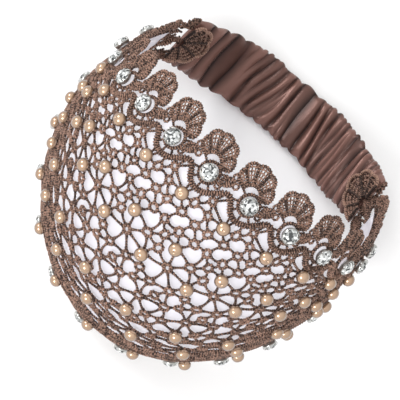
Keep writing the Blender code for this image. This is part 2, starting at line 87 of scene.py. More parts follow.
# Turned profiles as (radius, height) in millimetres, and the stone's rings of corners as (count, share of the
# radius, height, turn in steps).
PEARL_PROFILE = ((0.0, 0.0), (2.3, 0.0), (2.8, 0.5), (3.0, 1.2), (2.95, 1.9), (2.6, 2.7), (2.0, 3.35),
                 (1.3, 3.75), (0.75, 3.92), (0.5, 3.93), (0.38, 3.75), (0.0, 3.6))
CUP_PROFILE = ((0.0, 0.0), (2.9, 0.0), (3.4, 0.7), (3.65, 1.6), (3.7, 2.1), (3.6, 2.25), (3.45, 1.9),
               (2.9, 0.9), (0.0, 0.35))
CLAW_PATH = ((3.6, 1.6), (3.65, 2.4), (3.35, 2.95), (2.95, 3.25))
SQUARE = ((-1, -1), (1, -1), (1, 1), (-1, 1))
STONE_RINGS = ((8, 0.52, 1.75, 0.0), (8, 0.80, 1.15, 0.5), (16, 1.0, 0.15, 0.0), (16, 1.0, -0.15, 0.0),
               (8, 0.5, -1.1, 0.5))


class Edge(Enum):
    """The two long edges of the lace; the value is the side of the middle line."""

    FRONT = -1
    REAR = 1


@dataclass(frozen=True)
class Stitch:
    """One kind of cord: radius and lift in millimetres, and how light it is drawn, 0 to 1; for most cords
    this is the thread's own tone, for the valley cords it is painted shade.
    """

    radius: float
    tone: float = 0.5
    lift: float = 0.0


class Cord(Enum):
    """The kinds of cord in the lace."""

    EYELET = Stitch(0.71, tone=0.6)
    BAR = Stitch(0.54, tone=0.34, lift=-0.1)
    SCROLL = Stitch(1.35, lift=0.15)
    RIM = Stitch(0.80, lift=0.15)
    # The valley cords' low tone is painted shade in the folds between the fan's lobes.
    VALLEY = Stitch(0.70, tone=0.25, lift=0.3)
    RIB = Stitch(0.36, tone=0.6)
    ROW = Stitch(0.37, tone=0.8)
    HEART = Stitch(0.75, tone=0.4, lift=0.1)
    STONE_RING = Stitch(0.80, tone=0.4)
    STONE_TIE = Stitch(0.55, tone=0.3, lift=-0.15)
    LEAF = Stitch(0.55, lift=0.1)
    RINGLET = Stitch(0.55)
    # The end motif's valley cords are drawn darkest, as painted shade between its lobes.
    END_VALLEY = Stitch(0.75, tone=0.0, lift=-0.3)
    END_RIB = Stitch(0.45)
    END_ROW = Stitch(0.5, tone=0.7)
    END_RIM = Stitch(0.85, tone=0.9, lift=-0.2)


@dataclass(frozen=True)
class RingSize:
    """Overall sizes of the ring, as in the solids."""

    half_width: float = 77 * MM
    depth: float = 122 * MM
    height: float = 131 * MM
    pull: float = 7 * MM
    front_pull_share: float = 0.4
    shift: tuple = (0.0043486, 0.0473207, 0.0)


@dataclass(frozen=True)
class LaceSize:
    """Sizes of the lace."""

    wall: float = 1.4 * MM
    pitch: float = 21.8 * MM
    shift: float = 5.3 * MM
    border: float = 22.25 * MM
    stone_inset: float = 14.6 * MM
    stone_inset_share: float = 0.30
    node_count: int = 50
    net_margin: float = 4.0 * MM
    eyelet: float = 1.62 * MM
    bar_bow: float = 0.5 * MM
    gather_most: float = 0.30
    pleat: float = 1.1 * MM
    pleat_start: float = 78 * MM
    pleat_fade: float = 62 * MM
    pleat_wave: float = 55 * MM


@dataclass(frozen=True)
class StrapSize:
    """Sizes of the satin strap."""

    wall: float = 3.4 * MM
    gap: float = 0.3 * MM
    folds: int = 20
    fold_height: float = 2.9 * MM
    fade: float = 9 * MM
    edge_wave: float = 0.9 * MM
    rest_half_length: float = 11 * MM
    rest_lift: float = 0.25 * MM
    steps: int = 24
    rows: int = 34


@dataclass(frozen=True)
class Finish:
    """Colours and constants of one material."""

    light: tuple
    dark: tuple
    roughness: float
    sheen: float = 0.0
    coat: float = 0.0
    # Strength of painted light: an emission on a surface that is no lamp.
    painted_glow: float = 0.0


# The lace's near-black dark colour is painted shade in the necks between stitches and in the valley cords;
# the random speckle also mixes toward it.
LACE_FINISH = Finish(light=(0.425, 0.252, 0.184), dark=(0.008, 0.004, 0.003), roughness=0.72, sheen=0.04)
# The satin's dark colour is painted shade in the fold valleys.
SATIN_FINISH = Finish(light=(0.210, 0.106, 0.085), dark=(0.022, 0.008, 0.006), roughness=0.25, sheen=0.04)
# The lining's emission is painted light: it makes the cloth shine so that no shade shows on it under the
# lace.
LINING_FINISH = Finish(light=(0.80, 0.79, 0.84), dark=(0.66, 0.64, 0.71), roughness=0.35, painted_glow=0.34)
# The pearl's dark colour is painted shade towards its outline.
PEARL_FINISH = Finish(light=(0.62, 0.42, 0.28), dark=(0.07, 0.034, 0.018), roughness=0.20, coat=0.7)
# The stone's light and dark colours are painted glints and painted dark reflections.
GLASS_FINISH = Finish(light=(0.93, 0.95, 0.94), dark=(0.045, 0.05, 0.05), roughness=0.06, coat=1.0)
METAL_FINISH = Finish(light=(0.62, 0.62, 0.60), dark=(0.45, 0.45, 0.43), roughness=0.28)
FLOOR_FINISH = Finish(light=(0.95, 0.95, 0.95), dark=(0.95, 0.95, 0.95), roughness=0.9)
THREAD_PATCH = (0.115, 0.068, 0.056)
# Colour of the painted light that the lining emits.
PAINTED_GLOW_COLOUR = (0.97, 0.95, 1.0)


def polar(turns: Array) -> Array:
    """Unit vectors at angles."""
    return np.column_stack((np.cos(turns), np.sin(turns)))


def around(count: int) -> Array:
    """Even angles round a full turn."""
    return np.linspace(0, 2 * math.pi, count, endpoint=False)


def travelled(path: Array) -> Array:
    """Distance travelled at each point of a path."""
    return np.concatenate(([0], np.cumsum(np.linalg.norm(np.diff(path, axis=0), axis=1))))


def closed_spline(knots: Array, rows: Array, spots: Array) -> Array:
    """Smooth periodic cubic spline.

    Args:
        knots: positions of the rows, one more than there are rows.
        rows: values at the knots.
        spots: positions wanted.
    Returns:
        The values at the spots.
    """
    count = len(rows)
    steps = np.diff(knots)
    matrix = np.zeros((count, count))
    right = np.zeros(rows.shape)
    for i in range(count):
        before, after = steps[i - 1], steps[i]
        matrix[i, i - 1] += before / 6
        matrix[i, i] += (before + after) / 3
        matrix[i, (i + 1) % count] += after / 6
        right[i] = (rows[(i + 1) % count] - rows[i]) / after - (rows[i] - rows[i - 1]) / before
    bends = np.linalg.solve(matrix, right)
    index = np.clip(np.searchsorted(knots, spots, side="right") - 1, 0, count - 1)
    step = steps[index][:, None]
    left = (knots[index + 1] - spots)[:, None] / step
    share = 1 - left
    following = (index + 1) % count
    curve = left * rows[index] + share * rows[following]
    bend = (left ** 3 - left) * bends[index] + (share ** 3 - share) * bends[following]
    return curve + bend * step ** 2 / 6


def arc_table(first: Array, middle: Array, last: Array, shares: Array) -> Array:
    """Points on the circular arcs through three rails.

    Args:
        first, middle, last: rail points, one row each.
        shares: shares of the arcs, outside 0 to 1 as well.
    Returns:
        Points by rail point and share.
    """
    to_middle, to_last = middle - first, last - first
    axis = np.cross(to_middle, to_last)
    size = (axis ** 2).sum(axis=1, keepdims=True)
    from_last = np.cross(axis, to_middle) * (to_last ** 2).sum(axis=1, keepdims=True)
    from_middle = np.cross(to_last, axis) * (to_middle ** 2).sum(axis=1, keepdims=True)
    centre = first + (from_last + from_middle) / (2 * size)
    radius = np.linalg.norm(first - centre, axis=1, keepdims=True)
    east = (first - centre) / radius
    north = np.cross(axis / np.sqrt(size), east)
    up = ((last - centre) * north).sum(axis=1)
    over = ((last - centre) * east).sum(axis=1)
    sweep = np.arctan2(up, over) % (2 * math.pi)
    turn = sweep[:, None, None] * np.asarray(shares)[None, :, None]
    arm = np.cos(turn) * east[:, None] + np.sin(turn) * north[:, None]
    return centre[:, None] + radius[:, :, None] * arm


def smooth_path(spots: Any, count: int) -> Array:
    """Evenly spaced points on a smooth curve through a few chosen ones.

    Args:
        spots: the chosen points.
        count: how many points are wanted.
    Returns:
        The points.
    """
    spots = np.asarray(spots, float)
    ends = np.vstack((2 * spots[0] - spots[1], spots, 2 * spots[-1] - spots[-2]))
    t = np.linspace(0, 1, 12, endpoint=False)[:, None]
    pieces = []
    for i in range(len(spots) - 1):
        a, b, c, d = ends[i:i + 4]
        bend = (2 * a - 5 * b + 4 * c - d) * t ** 2 + (3 * b - a - 3 * c + d) * t ** 3
        pieces.append(0.5 * (2 * b + (c - a) * t + bend))
    path = np.vstack(pieces + [spots[-1:]])
    travel = travelled(path)
    wanted = np.linspace(0, travel[-1], count)
    return np.column_stack([np.interp(wanted, travel, path[:, i]) for i in range(2)])


class Ring:
    """The closed ring surface, tabled for quick placing."""

    LONG = 960
    CROSS = 60
    MARGIN = 0.12

    def __init__(self, size: RingSize) -> None:
        """Tables the surface.

        Args:
            size: the overall sizes.
        """
        knots, rails = self._rails(size)
        steps = sum(np.linalg.norm(np.diff(rails[:, i:i + 3], axis=0), axis=1) for i in (0, 3, 6)) / 3
        travel = np.concatenate(([0], np.cumsum(steps)))
        spots = np.linspace(0, knots[-1], len(travel))
        right_seam, left_seam = np.interp((knots[SEAM_ROW], knots[-1 - SEAM_ROW]), spots, travel)
        self.length = travel[-1]
        self.half_lace = (right_seam + self.length - left_seam) / 2
        self.middle = right_seam - self.half_lace
        even = np.linspace(0, self.length, self.LONG + 1)
        rows = np.stack([np.interp(even, travel, rails[:, i]) for i in range(9)], axis=1)
        rails = rows[:, 0:3], rows[:, 3:6], rows[:, 6:9]
        shares = np.linspace(-self.MARGIN, 1 + self.MARGIN, self.CROSS + 1)
        self.points = arc_table(*rails, shares) + np.array(size.shift)
        self.normals = self._normals()
        inner = arc_table(*rails, np.linspace(0, 1, 9))
        self.widths = np.linalg.norm(np.diff(inner, axis=1), axis=2).sum(axis=1)

    @staticmethod
    def _rails(size: RingSize) -> tuple:
        """Smooth front, middle and rear rails.

        Args:
            size: the overall sizes.
        Returns:
            The rows' knots, and the rails' nine coordinates at fine steps.
        """
        table = np.array(SECTIONS)
        left = table[:, :9] * np.tile((-size.half_width, size.depth, size.height), 3)
        right = table[:, :9] * np.tile((size.half_width, size.depth, size.height), 3)
        for column, share in ((0, size.front_pull_share), (3, 1.0), (6, 1.0)):
            right[:, column] -= table[:, 9] * size.pull * share
        rows = np.vstack((right, left[-2:0:-1]))
        closed = np.vstack((rows, rows[:1]))
        chords = np.diff(closed, axis=0).reshape(len(rows), 3, 3)
        knots = np.concatenate(([0], np.cumsum(np.linalg.norm(chords, axis=2).mean(axis=1))))
        return knots, closed_spline(knots, rows, np.linspace(0, knots[-1], 1441))

    def _normals(self) -> Array:
        """Outward unit normals at the table's points.

        Returns:
            The normals.
        """
        along = np.roll(self.points[:-1], -1, axis=0) - np.roll(self.points[:-1], 1, axis=0)
        along = np.concatenate((along, along[:1]))
        normal = np.cross(np.gradient(self.points, axis=1), along)
        return normal / np.linalg.norm(normal, axis=2, keepdims=True)

    def _row(self, along: Any) -> Array:
        """Row of the table at distances along the ring."""
        return (np.asarray(along) + self.middle) % self.length / self.length * self.LONG

    def width(self, along: Any) -> Array:
        """Arc length across the ring at distances along it."""
        return np.interp(self._row(along), np.arange(self.LONG + 1), self.widths)

    def _sample(self, table: Array, along: Any, across: Any) -> Array:
        """Reads a table between its points.

        Args:
            table: the points or the normals.
            along, across: as in place.
        Returns:
            The values.
        """
        u = self._row(along)
        v = (np.asarray(across) + self.MARGIN) / (1 + 2 * self.MARGIN) * self.CROSS
        v = np.clip(v, 0, self.CROSS - 1e-6)
        i, j = np.floor(u).astype(int) % self.LONG, np.floor(v).astype(int)
        fu, fv = (u - np.floor(u))[..., None], (v - j)[..., None]
        near = table[i, j] * (1 - fv) + table[i, j + 1] * fv
        far = table[i + 1, j] * (1 - fv) + table[i + 1, j + 1] * fv
        return near * (1 - fu) + far * fu

    def place(self, along: Any, across: Any, lift: Any) -> Array:
        """Points at a height above the surface, never below the table.

        Args:
            along: distances along the ring from half-way between the seams.
            across: shares of the width from the front edge.
            lift: heights along the outward normal.
        Returns:
            The points.
        """
        points = self._sample(self.points, along, across)
        points = points + self.normal(along, across) * np.asarray(lift)[..., None]
        points[..., 2] = np.maximum(points[..., 2], 0.0)
        return points

    def normal(self, along: Any, across: Any) -> Array:
        """Outward unit normals at places on the ring."""
        normals = self._sample(self.normals, along, across)
        return normals / np.linalg.norm(normals, axis=-1, keepdims=True)


class FlatLace:
    """Maps the lace as it was cut, at the width it has over the crown, onto the ring."""

    def __init__(self, ring: Ring, size: LaceSize) -> None:
        """Measures the lace on the ring.

        Args:
            ring: the ring surface.
            size: the lace's sizes.
        """
        self.ring = ring
        self.size = size
        self.half = ring.half_lace
        self.crown = float(ring.width(0.0))
        self.core = self.crown / 2 - size.border

    def repeats(self) -> list:
        """Starts of the repeats that touch the lace.

        Returns:
            Distances along the lace.
        """
        size = self.size
        first = math.floor((-self.half - size.shift) / size.pitch)
        last = math.ceil((self.half - size.shift) / size.pitch)
        return [size.shift + number * size.pitch for number in range(first, last)]

    def gathering(self, along: Any) -> Array:
        """Share of its width at the crown that the net between the borders keeps."""
        return np.maximum(self.ring.width(along) / 2 - self.size.border, 0.0) / self.core

    def across(self, along: Array, flat: Array) -> Array:
        """Share of the ring's width at a flat distance from the middle line.

        Args:
            along: distances along the lace.
            flat: distances across the lace as cut.
        Returns:
            The shares.
        """
        half = self.ring.width(along) / 2
        border = np.minimum(half / self.size.border, 1.0)
        inner = np.minimum(np.abs(flat), self.core)
        outer = np.maximum(np.abs(flat) - self.core, 0.0)
        reach = inner * self.gathering(along) + outer * border
        return 0.5 + np.sign(flat) * reach / (2 * half)

    def pleat(self, along: Array, across: Array) -> Array:
        """Height of the soft folds that the gathers leave towards the seams.

        Args:
            along, across: places on the ring.
        Returns:
            The heights.
        """
        size = self.size
        near = np.clip((np.abs(along) - size.pleat_start) / size.pleat_fade, 0.0, 1.0)
        phase = 5.0 * across + 2.2 * np.sin(across * 5.0) + along / size.pleat_wave
        inside = np.clip(4 * across * (1 - across) + 0.3, 0, 1)
        return near * size.pleat * np.sin(2 * math.pi * phase) * inside

    def place(self, flat: Array, lift: Any) -> Array:
        """Points of the lace.

        Args:
            flat: distances along and across the lace as cut.
            lift: heights above the ring's middle surface.
        Returns:
            The points.
        """
        along, across = flat[..., 0], self.across(flat[..., 0], flat[..., 1])
        return self.ring.place(along, across, np.asarray(lift) + self.pleat(along, across))


def store(mesh: Mesh, name: str, values: Any, kind: str = "FLOAT") -> None:
    """Stores a point attribute.

    Args:
        mesh: the mesh.
        name: the attribute's name.
        values: one value for each point.
        kind: FLOAT or FLOAT_VECTOR.
    """
    attribute = mesh.attributes.new(name, kind, "POINT")
    field = "value" if kind == "FLOAT" else "vector"
    attribute.data.foreach_set(field, np.asarray(values, np.float32).ravel())


def shown(name: str, mesh: Mesh, *materials: Material) -> Thing:
    """Links a mesh as an object at the origin.

    Args:
        name: the object's name.
        mesh: its mesh.
        materials: its materials, if it has none yet.
    Returns:
        The object.
    """
    for material in materials:
        mesh.materials.append(material)
    thing = bpy.data.objects.new(name, mesh)
    bpy.context.scene.collection.objects.link(thing)
    return thing


class Nodes:
    """Adds nodes to a node tree and links them."""

    def __init__(self, tree: bpy.types.NodeTree) -> None:
        """Keeps the tree."""
        self.tree = tree

    def add(self, kind: str, links: Optional[dict] = None, **settings: Any) -> bpy.types.Node:
        """Adds a node.

        Args:
            kind: the node's type.
            links: links or values by the socket's name or number.
            settings: the node's own properties.
        Returns:
            The node.
        """
        node = self.tree.nodes.new(kind)
        for name, value in settings.items():
            setattr(node, name, value)
        for name, value in (links or {}).items():
            self.plug(node, name, value)
        return node

    def plug(self, node: bpy.types.Node, name: Any, value: Any) -> None:
        """Links a socket or sets its value.

        Args:
            node: the node.
            name: the socket's name or number.
            value: an output socket, or a plain value.
        """
        enabled = [socket for socket in node.inputs if socket.name == name and socket.enabled]
        socket = enabled[0] if enabled else node.inputs[name]
        if isinstance(value, bpy.types.NodeSocket):
            self.tree.links.new(value, socket)
        else:
            socket.default_value = value


class Tree(Nodes):
    """A Geometry Nodes tree with named inputs that ends in real geometry with its material."""

    def __init__(self, name: str, **kinds: str) -> None:
        """Starts the tree.

        Args:
            name: the tree's name.
            kinds: socket types of its named inputs.
        """
        super().__init__(bpy.data.node_groups.new(name, "GeometryNodeTree"))
        face = self.tree.interface
        face.new_socket("Geometry", in_out="OUTPUT", socket_type="NodeSocketGeometry")
        for socket, kind in kinds.items():
            face.new_socket(socket, in_out="INPUT", socket_type="NodeSocket" + kind)
        self.entry = self.tree.nodes.new("NodeGroupInput").outputs

    def named(self, name: str, kind: str = "FLOAT") -> bpy.types.NodeSocket:
        """Output socket of a named attribute."""
        node = self.add("GeometryNodeInputNamedAttribute", {"Name": name}, data_type=kind)
        return next(socket for socket in node.outputs if socket.name == "Attribute" and socket.enabled)

    def finish(self, geometry: bpy.types.NodeSocket) -> bpy.types.NodeTree:
        """Ends the tree.

        Args:
            geometry: the socket of the finished geometry.
        Returns:
            The node tree.
        """
        real = self.add("GeometryNodeRealizeInstances", {"Geometry": geometry})
        links = {"Geometry": real.outputs[0], "Material": self.entry["Finish"]}
        painted = self.add("GeometryNodeSetMaterial", links)
        self.add("NodeGroupOutput", {0: painted.outputs[0]})
        return self.tree


@cache
def cord_tree() -> bpy.types.NodeTree:
    """Tree that turns lines into tubes of each point's radius.

    Returns:
        The tree, built once.
    """
    tree = Tree("stitched cords", Geometry="Geometry", Sides="Int", Finish="Material")
    curve = tree.add("GeometryNodeMeshToCurve", {"Mesh": tree.entry["Geometry"]})
    circle = tree.add("GeometryNodeCurvePrimitiveCircle", {"Resolution": tree.entry["Sides"], "Radius": 1.0})
    links = {"Curve": curve.outputs[0], "Profile Curve": circle.outputs[0], "Fill Caps": True}
    tube = tree.add("GeometryNodeCurveToMesh", {**links, "Scale": tree.named("thickness")})
    smooth = tree.add("GeometryNodeSetShadeSmooth", {"Geometry": tube.outputs[0], "Shade Smooth": True})
    return tree.finish(smooth.outputs[0])


@cache
def ornament_tree() -> bpy.types.NodeTree:
    """Tree that sets a pattern object on each point, turned to the point's up and east vectors.

    Returns:
        The tree, built once.
    """
    tree = Tree("set ornaments", Geometry="Geometry", Pattern="Object", Finish="Material")
    pattern = tree.add("GeometryNodeObjectInfo", {"Object": tree.entry["Pattern"]})
    up, east = (tree.named(name, "FLOAT_VECTOR") for name in ("up", "east"))
    axes = {"Primary Axis": up, "Secondary Axis": east}
    turn = tree.add("FunctionNodeAxesToRotation", axes, primary_axis="Z", secondary_axis="X")
    links = {"Points": tree.entry["Geometry"], "Instance": pattern.outputs["Geometry"]}
    placed = tree.add("GeometryNodeInstanceOnPoints", {**links, "Rotation": turn.outputs[0]})
    return tree.finish(placed.outputs[0])


def grown(name: str, mesh: Mesh, tree: bpy.types.NodeTree, values: dict) -> Thing:
    """Runs a tree on a mesh and keeps the result as a plain object.

    Args:
        name: the piece's name.
        mesh: the base mesh.
        tree: the Geometry Nodes tree.
        values: the tree's named inputs.
    Returns:
        The finished object, with no modifier left.
    """
    base = shown(name + "_base", mesh)
    modifier = base.modifiers.new("grow", "NODES")
    modifier.node_group = tree
    for item in tree.interface.items_tree:
        if item.in_out == "INPUT" and item.name in values:
            modifier[item.identifier] = values[item.name]
    result = bpy.data.meshes.new_from_object(base.evaluated_get(bpy.context.evaluated_depsgraph_get()))
    bpy.data.objects.remove(base)
    result.name = name
    return shown(name, result)


class Cords:
    """Stitched cords drawn flat as chains of points, then grown into tubes with beads."""

    STEP = 0.55 * MM
    BEAD = 0.24
    SIDES = 5
    TONE_RANGE = 0.25

    def __init__(self, surface: Any) -> None:
        """Starts with no cord.

        Args:
            surface: what places flat points and knows half the length that it covers.
        """
        self.surface = surface
        self.chains = []

    def add(self, points: Any, cord: Cord, closed: bool = False, swell: Any = 1.0) -> None:
        """Adds one cord.

        Args:
            points: flat points, distances along and across.
            cord: the kind of cord.
            closed: whether its ends meet.
            swell: times its radius, or one value for each point.
        """
        points = np.asarray(points, float)
        radius = np.broadcast_to(cord.value.radius * MM * swell, len(points))
        inside = np.abs(points[:, 0]) < self.surface.half
        if not inside.all():
            points, radius = points[inside], radius[inside]
            if closed or len(points) < 2:
                return
        self.chains.append((*self._beaded(points, radius, closed), closed, cord.value))

    def _beaded(self, points: Array, radius: Array, closed: bool) -> tuple:
        """Even steps along a chain, thick and thin in turn.

        Args:
            points, radius: the chain's points and their radii.
            closed: whether its ends meet.
        Returns:
            The new points and radii.
        """
        if closed:
            points, radius = np.vstack((points, points[:1])), np.append(radius, radius[0])
        travel = travelled(points)
        count = 2 * max(2, round(travel[-1] / (2 * self.STEP)))
        wanted = np.linspace(0, travel[-1], count + 1)
        if closed:
            wanted = wanted[:-1]
        spots = np.column_stack([np.interp(wanted, travel, points[:, i]) for i in range(2)])
        beads = np.where(np.arange(len(wanted)) % 2, 1.0, -1.0)
        return spots, np.interp(wanted, travel, radius) * (1 + self.BEAD * beads)

    def _lines(self, name: str) -> Mesh:
        """Mesh of the cords' middle lines, with each point's radius, its place in a stitch and its tone.

        Args:
            name: the mesh's name.
        Returns:
            The mesh.
        """
        mesh = bpy.data.meshes.new(name)
        spots, edges, radii, beads, tones = [], [], [], [], []
        for number, (points, radius, closed, stitch) in enumerate(self.chains):
            first, count = len(radii), len(points)
            placed = self.surface.place(points, stitch.lift * MM)
            placed[:, 2] = np.maximum(placed[:, 2], radius)
            spots.append(placed)
            radii.extend(radius)
            beads.extend(i % 2 for i in range(count))
            tones.extend([stitch.tone + self.TONE_RANGE * ((number * GOLDEN) % 1.0 - 0.5)] * count)
            edges += [(first + i, first + i + 1) for i in range(count - 1)]
            if closed:
                edges.append((first + count - 1, first))
        mesh.from_pydata(np.concatenate(spots).tolist(), edges, [])
        for attribute, values in (("thickness", radii), ("bead", beads), ("tone", tones)):
            store(mesh, attribute, values)
        return mesh

    def grow(self, name: str, finish: Material) -> Thing:
        """Grows the tubes into a piece of the given name and material."""
        return grown(name, self._lines(name + "_lines"), cord_tree(), {"Sides": self.SIDES, "Finish": finish})


class NetPattern:
    """One repeat of the net: eyelets spread evenly between the scrolls, and the bars between them."""

    SEED = 6
    TRIES = 2500
    TRY_HALF = 80
    LONGEST = 13 * MM
    TIE_LONGEST = 9 * MM
    TIE_SPOTS = range(26, 50, 3)
    SCROLL_MARGIN = 0.9

    def __init__(self, lace: FlatLace) -> None:
        """Draws the pattern.

        Args:
            lace: the flat lace.
        """
        size = lace.size
        self.pitch = size.pitch
        self.margin = size.net_margin
        self.scrolls = {edge: FanBorder(lace, edge).scroll_line() for edge in Edge}
        self.pearls = [(along * self.pitch, (across - 0.5) * lace.crown) for along, across in PEARL_CHART]
        self.nodes = self._spread(size.node_count)
        self.bars = self._bars()

    def _limit(self, edge: Edge, along: Array) -> Array:
        """Furthest flat distance across that a node may have beside one scroll.

        Args:
            edge: the scroll's edge.
            along: distances along the repeat.
        Returns:
            The distances across.
        """
        line = self.scrolls[edge]
        line = line[np.argsort(line[:, 0])]
        return np.interp(along, line[:, 0], line[:, 1]) - edge.value * self.margin

    def _wrapped(self, away: Array) -> Array:
        """Whole repeats in distances along the lace."""
        return np.round(away[:, 0] / self.pitch) * self.pitch

    def _spread(self, count: int) -> Array:
        """Adds nodes to the pearls one by one, each at the free place furthest from all the others.

        Args:
            count: how many nodes there are in all.
        Returns:
            The nodes.
        """
        draw = np.random.default_rng(self.SEED)
        along = draw.uniform(0, self.pitch, self.TRIES)
        free = np.column_stack((along, draw.uniform(-self.TRY_HALF, self.TRY_HALF, self.TRIES) * MM))
        front, rear = (self._limit(edge, free[:, 0]) for edge in Edge)
        free = free[(free[:, 1] > front) & (free[:, 1] < rear)]
        nodes = list(self.pearls)
        nearest = np.full(len(free), np.inf)
        for number in range(count):
            if number >= len(self.pearls):
                nodes.append(tuple(free[np.argmax(nearest)]))
            away = free - nodes[number]
            away[:, 0] -= self._wrapped(away)
            nearest = np.minimum(nearest, np.linalg.norm(away, axis=1))
        return np.array(nodes)

    def _bars(self) -> list:
        """Pairs of neighbours as (first, second, repeats between them), thinned out.

        Returns:
            The bars.
        """
        count = len(self.nodes)
        tiles = [self.nodes + (step * self.pitch, 0) for step in (-1, 0, 1)]
        spots = [Vector(p) for p in np.vstack(tiles)]
        pairs = set()
        for face in delaunay_2d_cdt(spots, [], [], 0, 1e-9)[2]:
            for a, b in zip(face, list(face[1:]) + [face[0]]):
                low, high = min(a, b), max(a, b)
                if count <= low < 2 * count or (low < count <= high < 2 * count):
                    i, j = (low, high) if low >= count else (high, low)
                    shift = 1 if j >= 2 * count else (-1 if j < count else 0)
                    key = (i - count, j % count, shift)
                    if (key[1], key[0], -shift) not in pairs:
                        pairs.add(key)
        return self._thinned(sorted(pair for pair in pairs if not self._crosses(pair)))

    def run(self, bar: tuple) -> Array:
        """From a bar's first node to its second."""
        i, j, shift = bar
        return self.nodes[j] + (shift * self.pitch, 0) - self.nodes[i]

    def _crosses(self, bar: tuple) -> bool:
        """True where a bar would run over a scroll.

        Args:
            bar: the bar.
        Returns:
            Whether it does.
        """
        spots = self.nodes[bar[0]] + self.run(bar) * np.linspace(0, 1, 7)[:, None]
        slack = self.margin * self.SCROLL_MARGIN
        front = self._limit(Edge.FRONT, spots[:, 0]) - slack
        rear = self._limit(Edge.REAR, spots[:, 0]) + slack
        return bool(((spots[:, 1] < front) | (spots[:, 1] > rear)).any())

    def ties(self) -> list:
        """Short bars from the scrolls to the nearest nodes.

        Returns:
            Pairs of a node and a flat point on a scroll.
        """
        found = []
        for edge in Edge:
            for spot in self.scrolls[edge][self.TIE_SPOTS]:
                taken = [node for node, _ in found]
                away = self.nodes - spot
                steps = self._wrapped(away)
                away[:, 0] -= steps
                nearest = int(np.argmin(np.linalg.norm(away, axis=1)))
                if np.linalg.norm(away[nearest]) < self.TIE_LONGEST and taken.count(nearest) < 2:
                    found.append((nearest, spot + (steps[nearest], 0)))
        return found

    def _thinned(self, pairs: list) -> list:
        """Leaves out the longest bars, one at most from each node.

        Args:
            pairs: all the bars.
        Returns:
            The bars that are kept.
        """
        kept, short = [], set()
        for bar in sorted(pairs, key=self._length, reverse=True):
            ends = {bar[0], bar[1]}
            if self._length(bar) > self.LONGEST:
                continue
            if ends & short:
                kept.append(bar)
            else:
                short |= ends
        return kept

    def _length(self, bar: tuple) -> float:
        """Length of a bar."""
        return float(np.linalg.norm(self.run(bar)))


class LaceNet:
    """The net between the two borders."""

    BAR_SPOTS = np.linspace(0, 1, 7)
    EYELET_SPOTS = 12

    def __init__(self, lace: FlatLace) -> None:
        """Draws one repeat."""
        self.lace = lace
        self.pattern = NetPattern(lace)

    def build(self, finish: Material) -> tuple:
        """Draws all repeats and grows them.

        Args:
            finish: the lace's material.
        Returns:
            The objects of the eyelets and of the bars.
        """
        eyelets, bars = Cords(self.lace), Cords(self.lace)
        for start in self.lace.repeats():
            self._eyelets(eyelets, start)
            self._bars(bars, start)
        return eyelets.grow("net_eyelets", finish), bars.grow("net_bars", finish)

    def _eyelets(self, cords: Cords, start: float) -> None:
        """Draws one repeat's eyelets, none quite round.

        Args:
            cords: the cords to add to.
            start: where the repeat starts.
        """
        turns = around(self.EYELET_SPOTS)
        for number, node in enumerate(self.pattern.nodes):
            wobble = 1 + 0.12 * np.sin(2 * turns + number) + 0.05 * np.sin(3 * turns + 2.1 * number)
            radius = self.lace.size.eyelet * (0.92 + 0.22 * ((number * 0.618) % 1.0)) * wobble
            cords.add(polar(turns) * radius[:, None] + node + (start, 0), Cord.EYELET, closed=True)

    def _bars(self, cords: Cords, start: float) -> None:
        """Draws one repeat's bars, a little bowed and thicker at their ends, and its ties.

        Args:
            cords: the cords to add to.
            start: where the repeat starts.
        """
        size, shares = self.lace.size, self.BAR_SPOTS
        for number, bar in enumerate(self.pattern.bars):
            run = self.pattern.run(bar)
            length = np.linalg.norm(run)
            trim = size.eyelet / length
            sideways = np.array((-run[1], run[0])) / length * size.bar_bow * math.sin(1.7 * number)
            spots = self.pattern.nodes[bar[0]] + run * (trim + (1 - 2 * trim) * shares)[:, None]
            spots = spots + sideways * np.sin(math.pi * shares)[:, None]
            cords.add(spots + (start, 0), Cord.BAR, swell=1 + 0.8 * np.abs(2 * shares - 1) ** 2.5)
        for node, spot in self.pattern.ties():
            run = spot - self.pattern.nodes[node]
            trim = size.eyelet / np.linalg.norm(run)
            spots = self.pattern.nodes[node] + run * (trim + (1 - trim) * shares)[:, None]
            cords.add(spots + (start, 0), Cord.BAR)


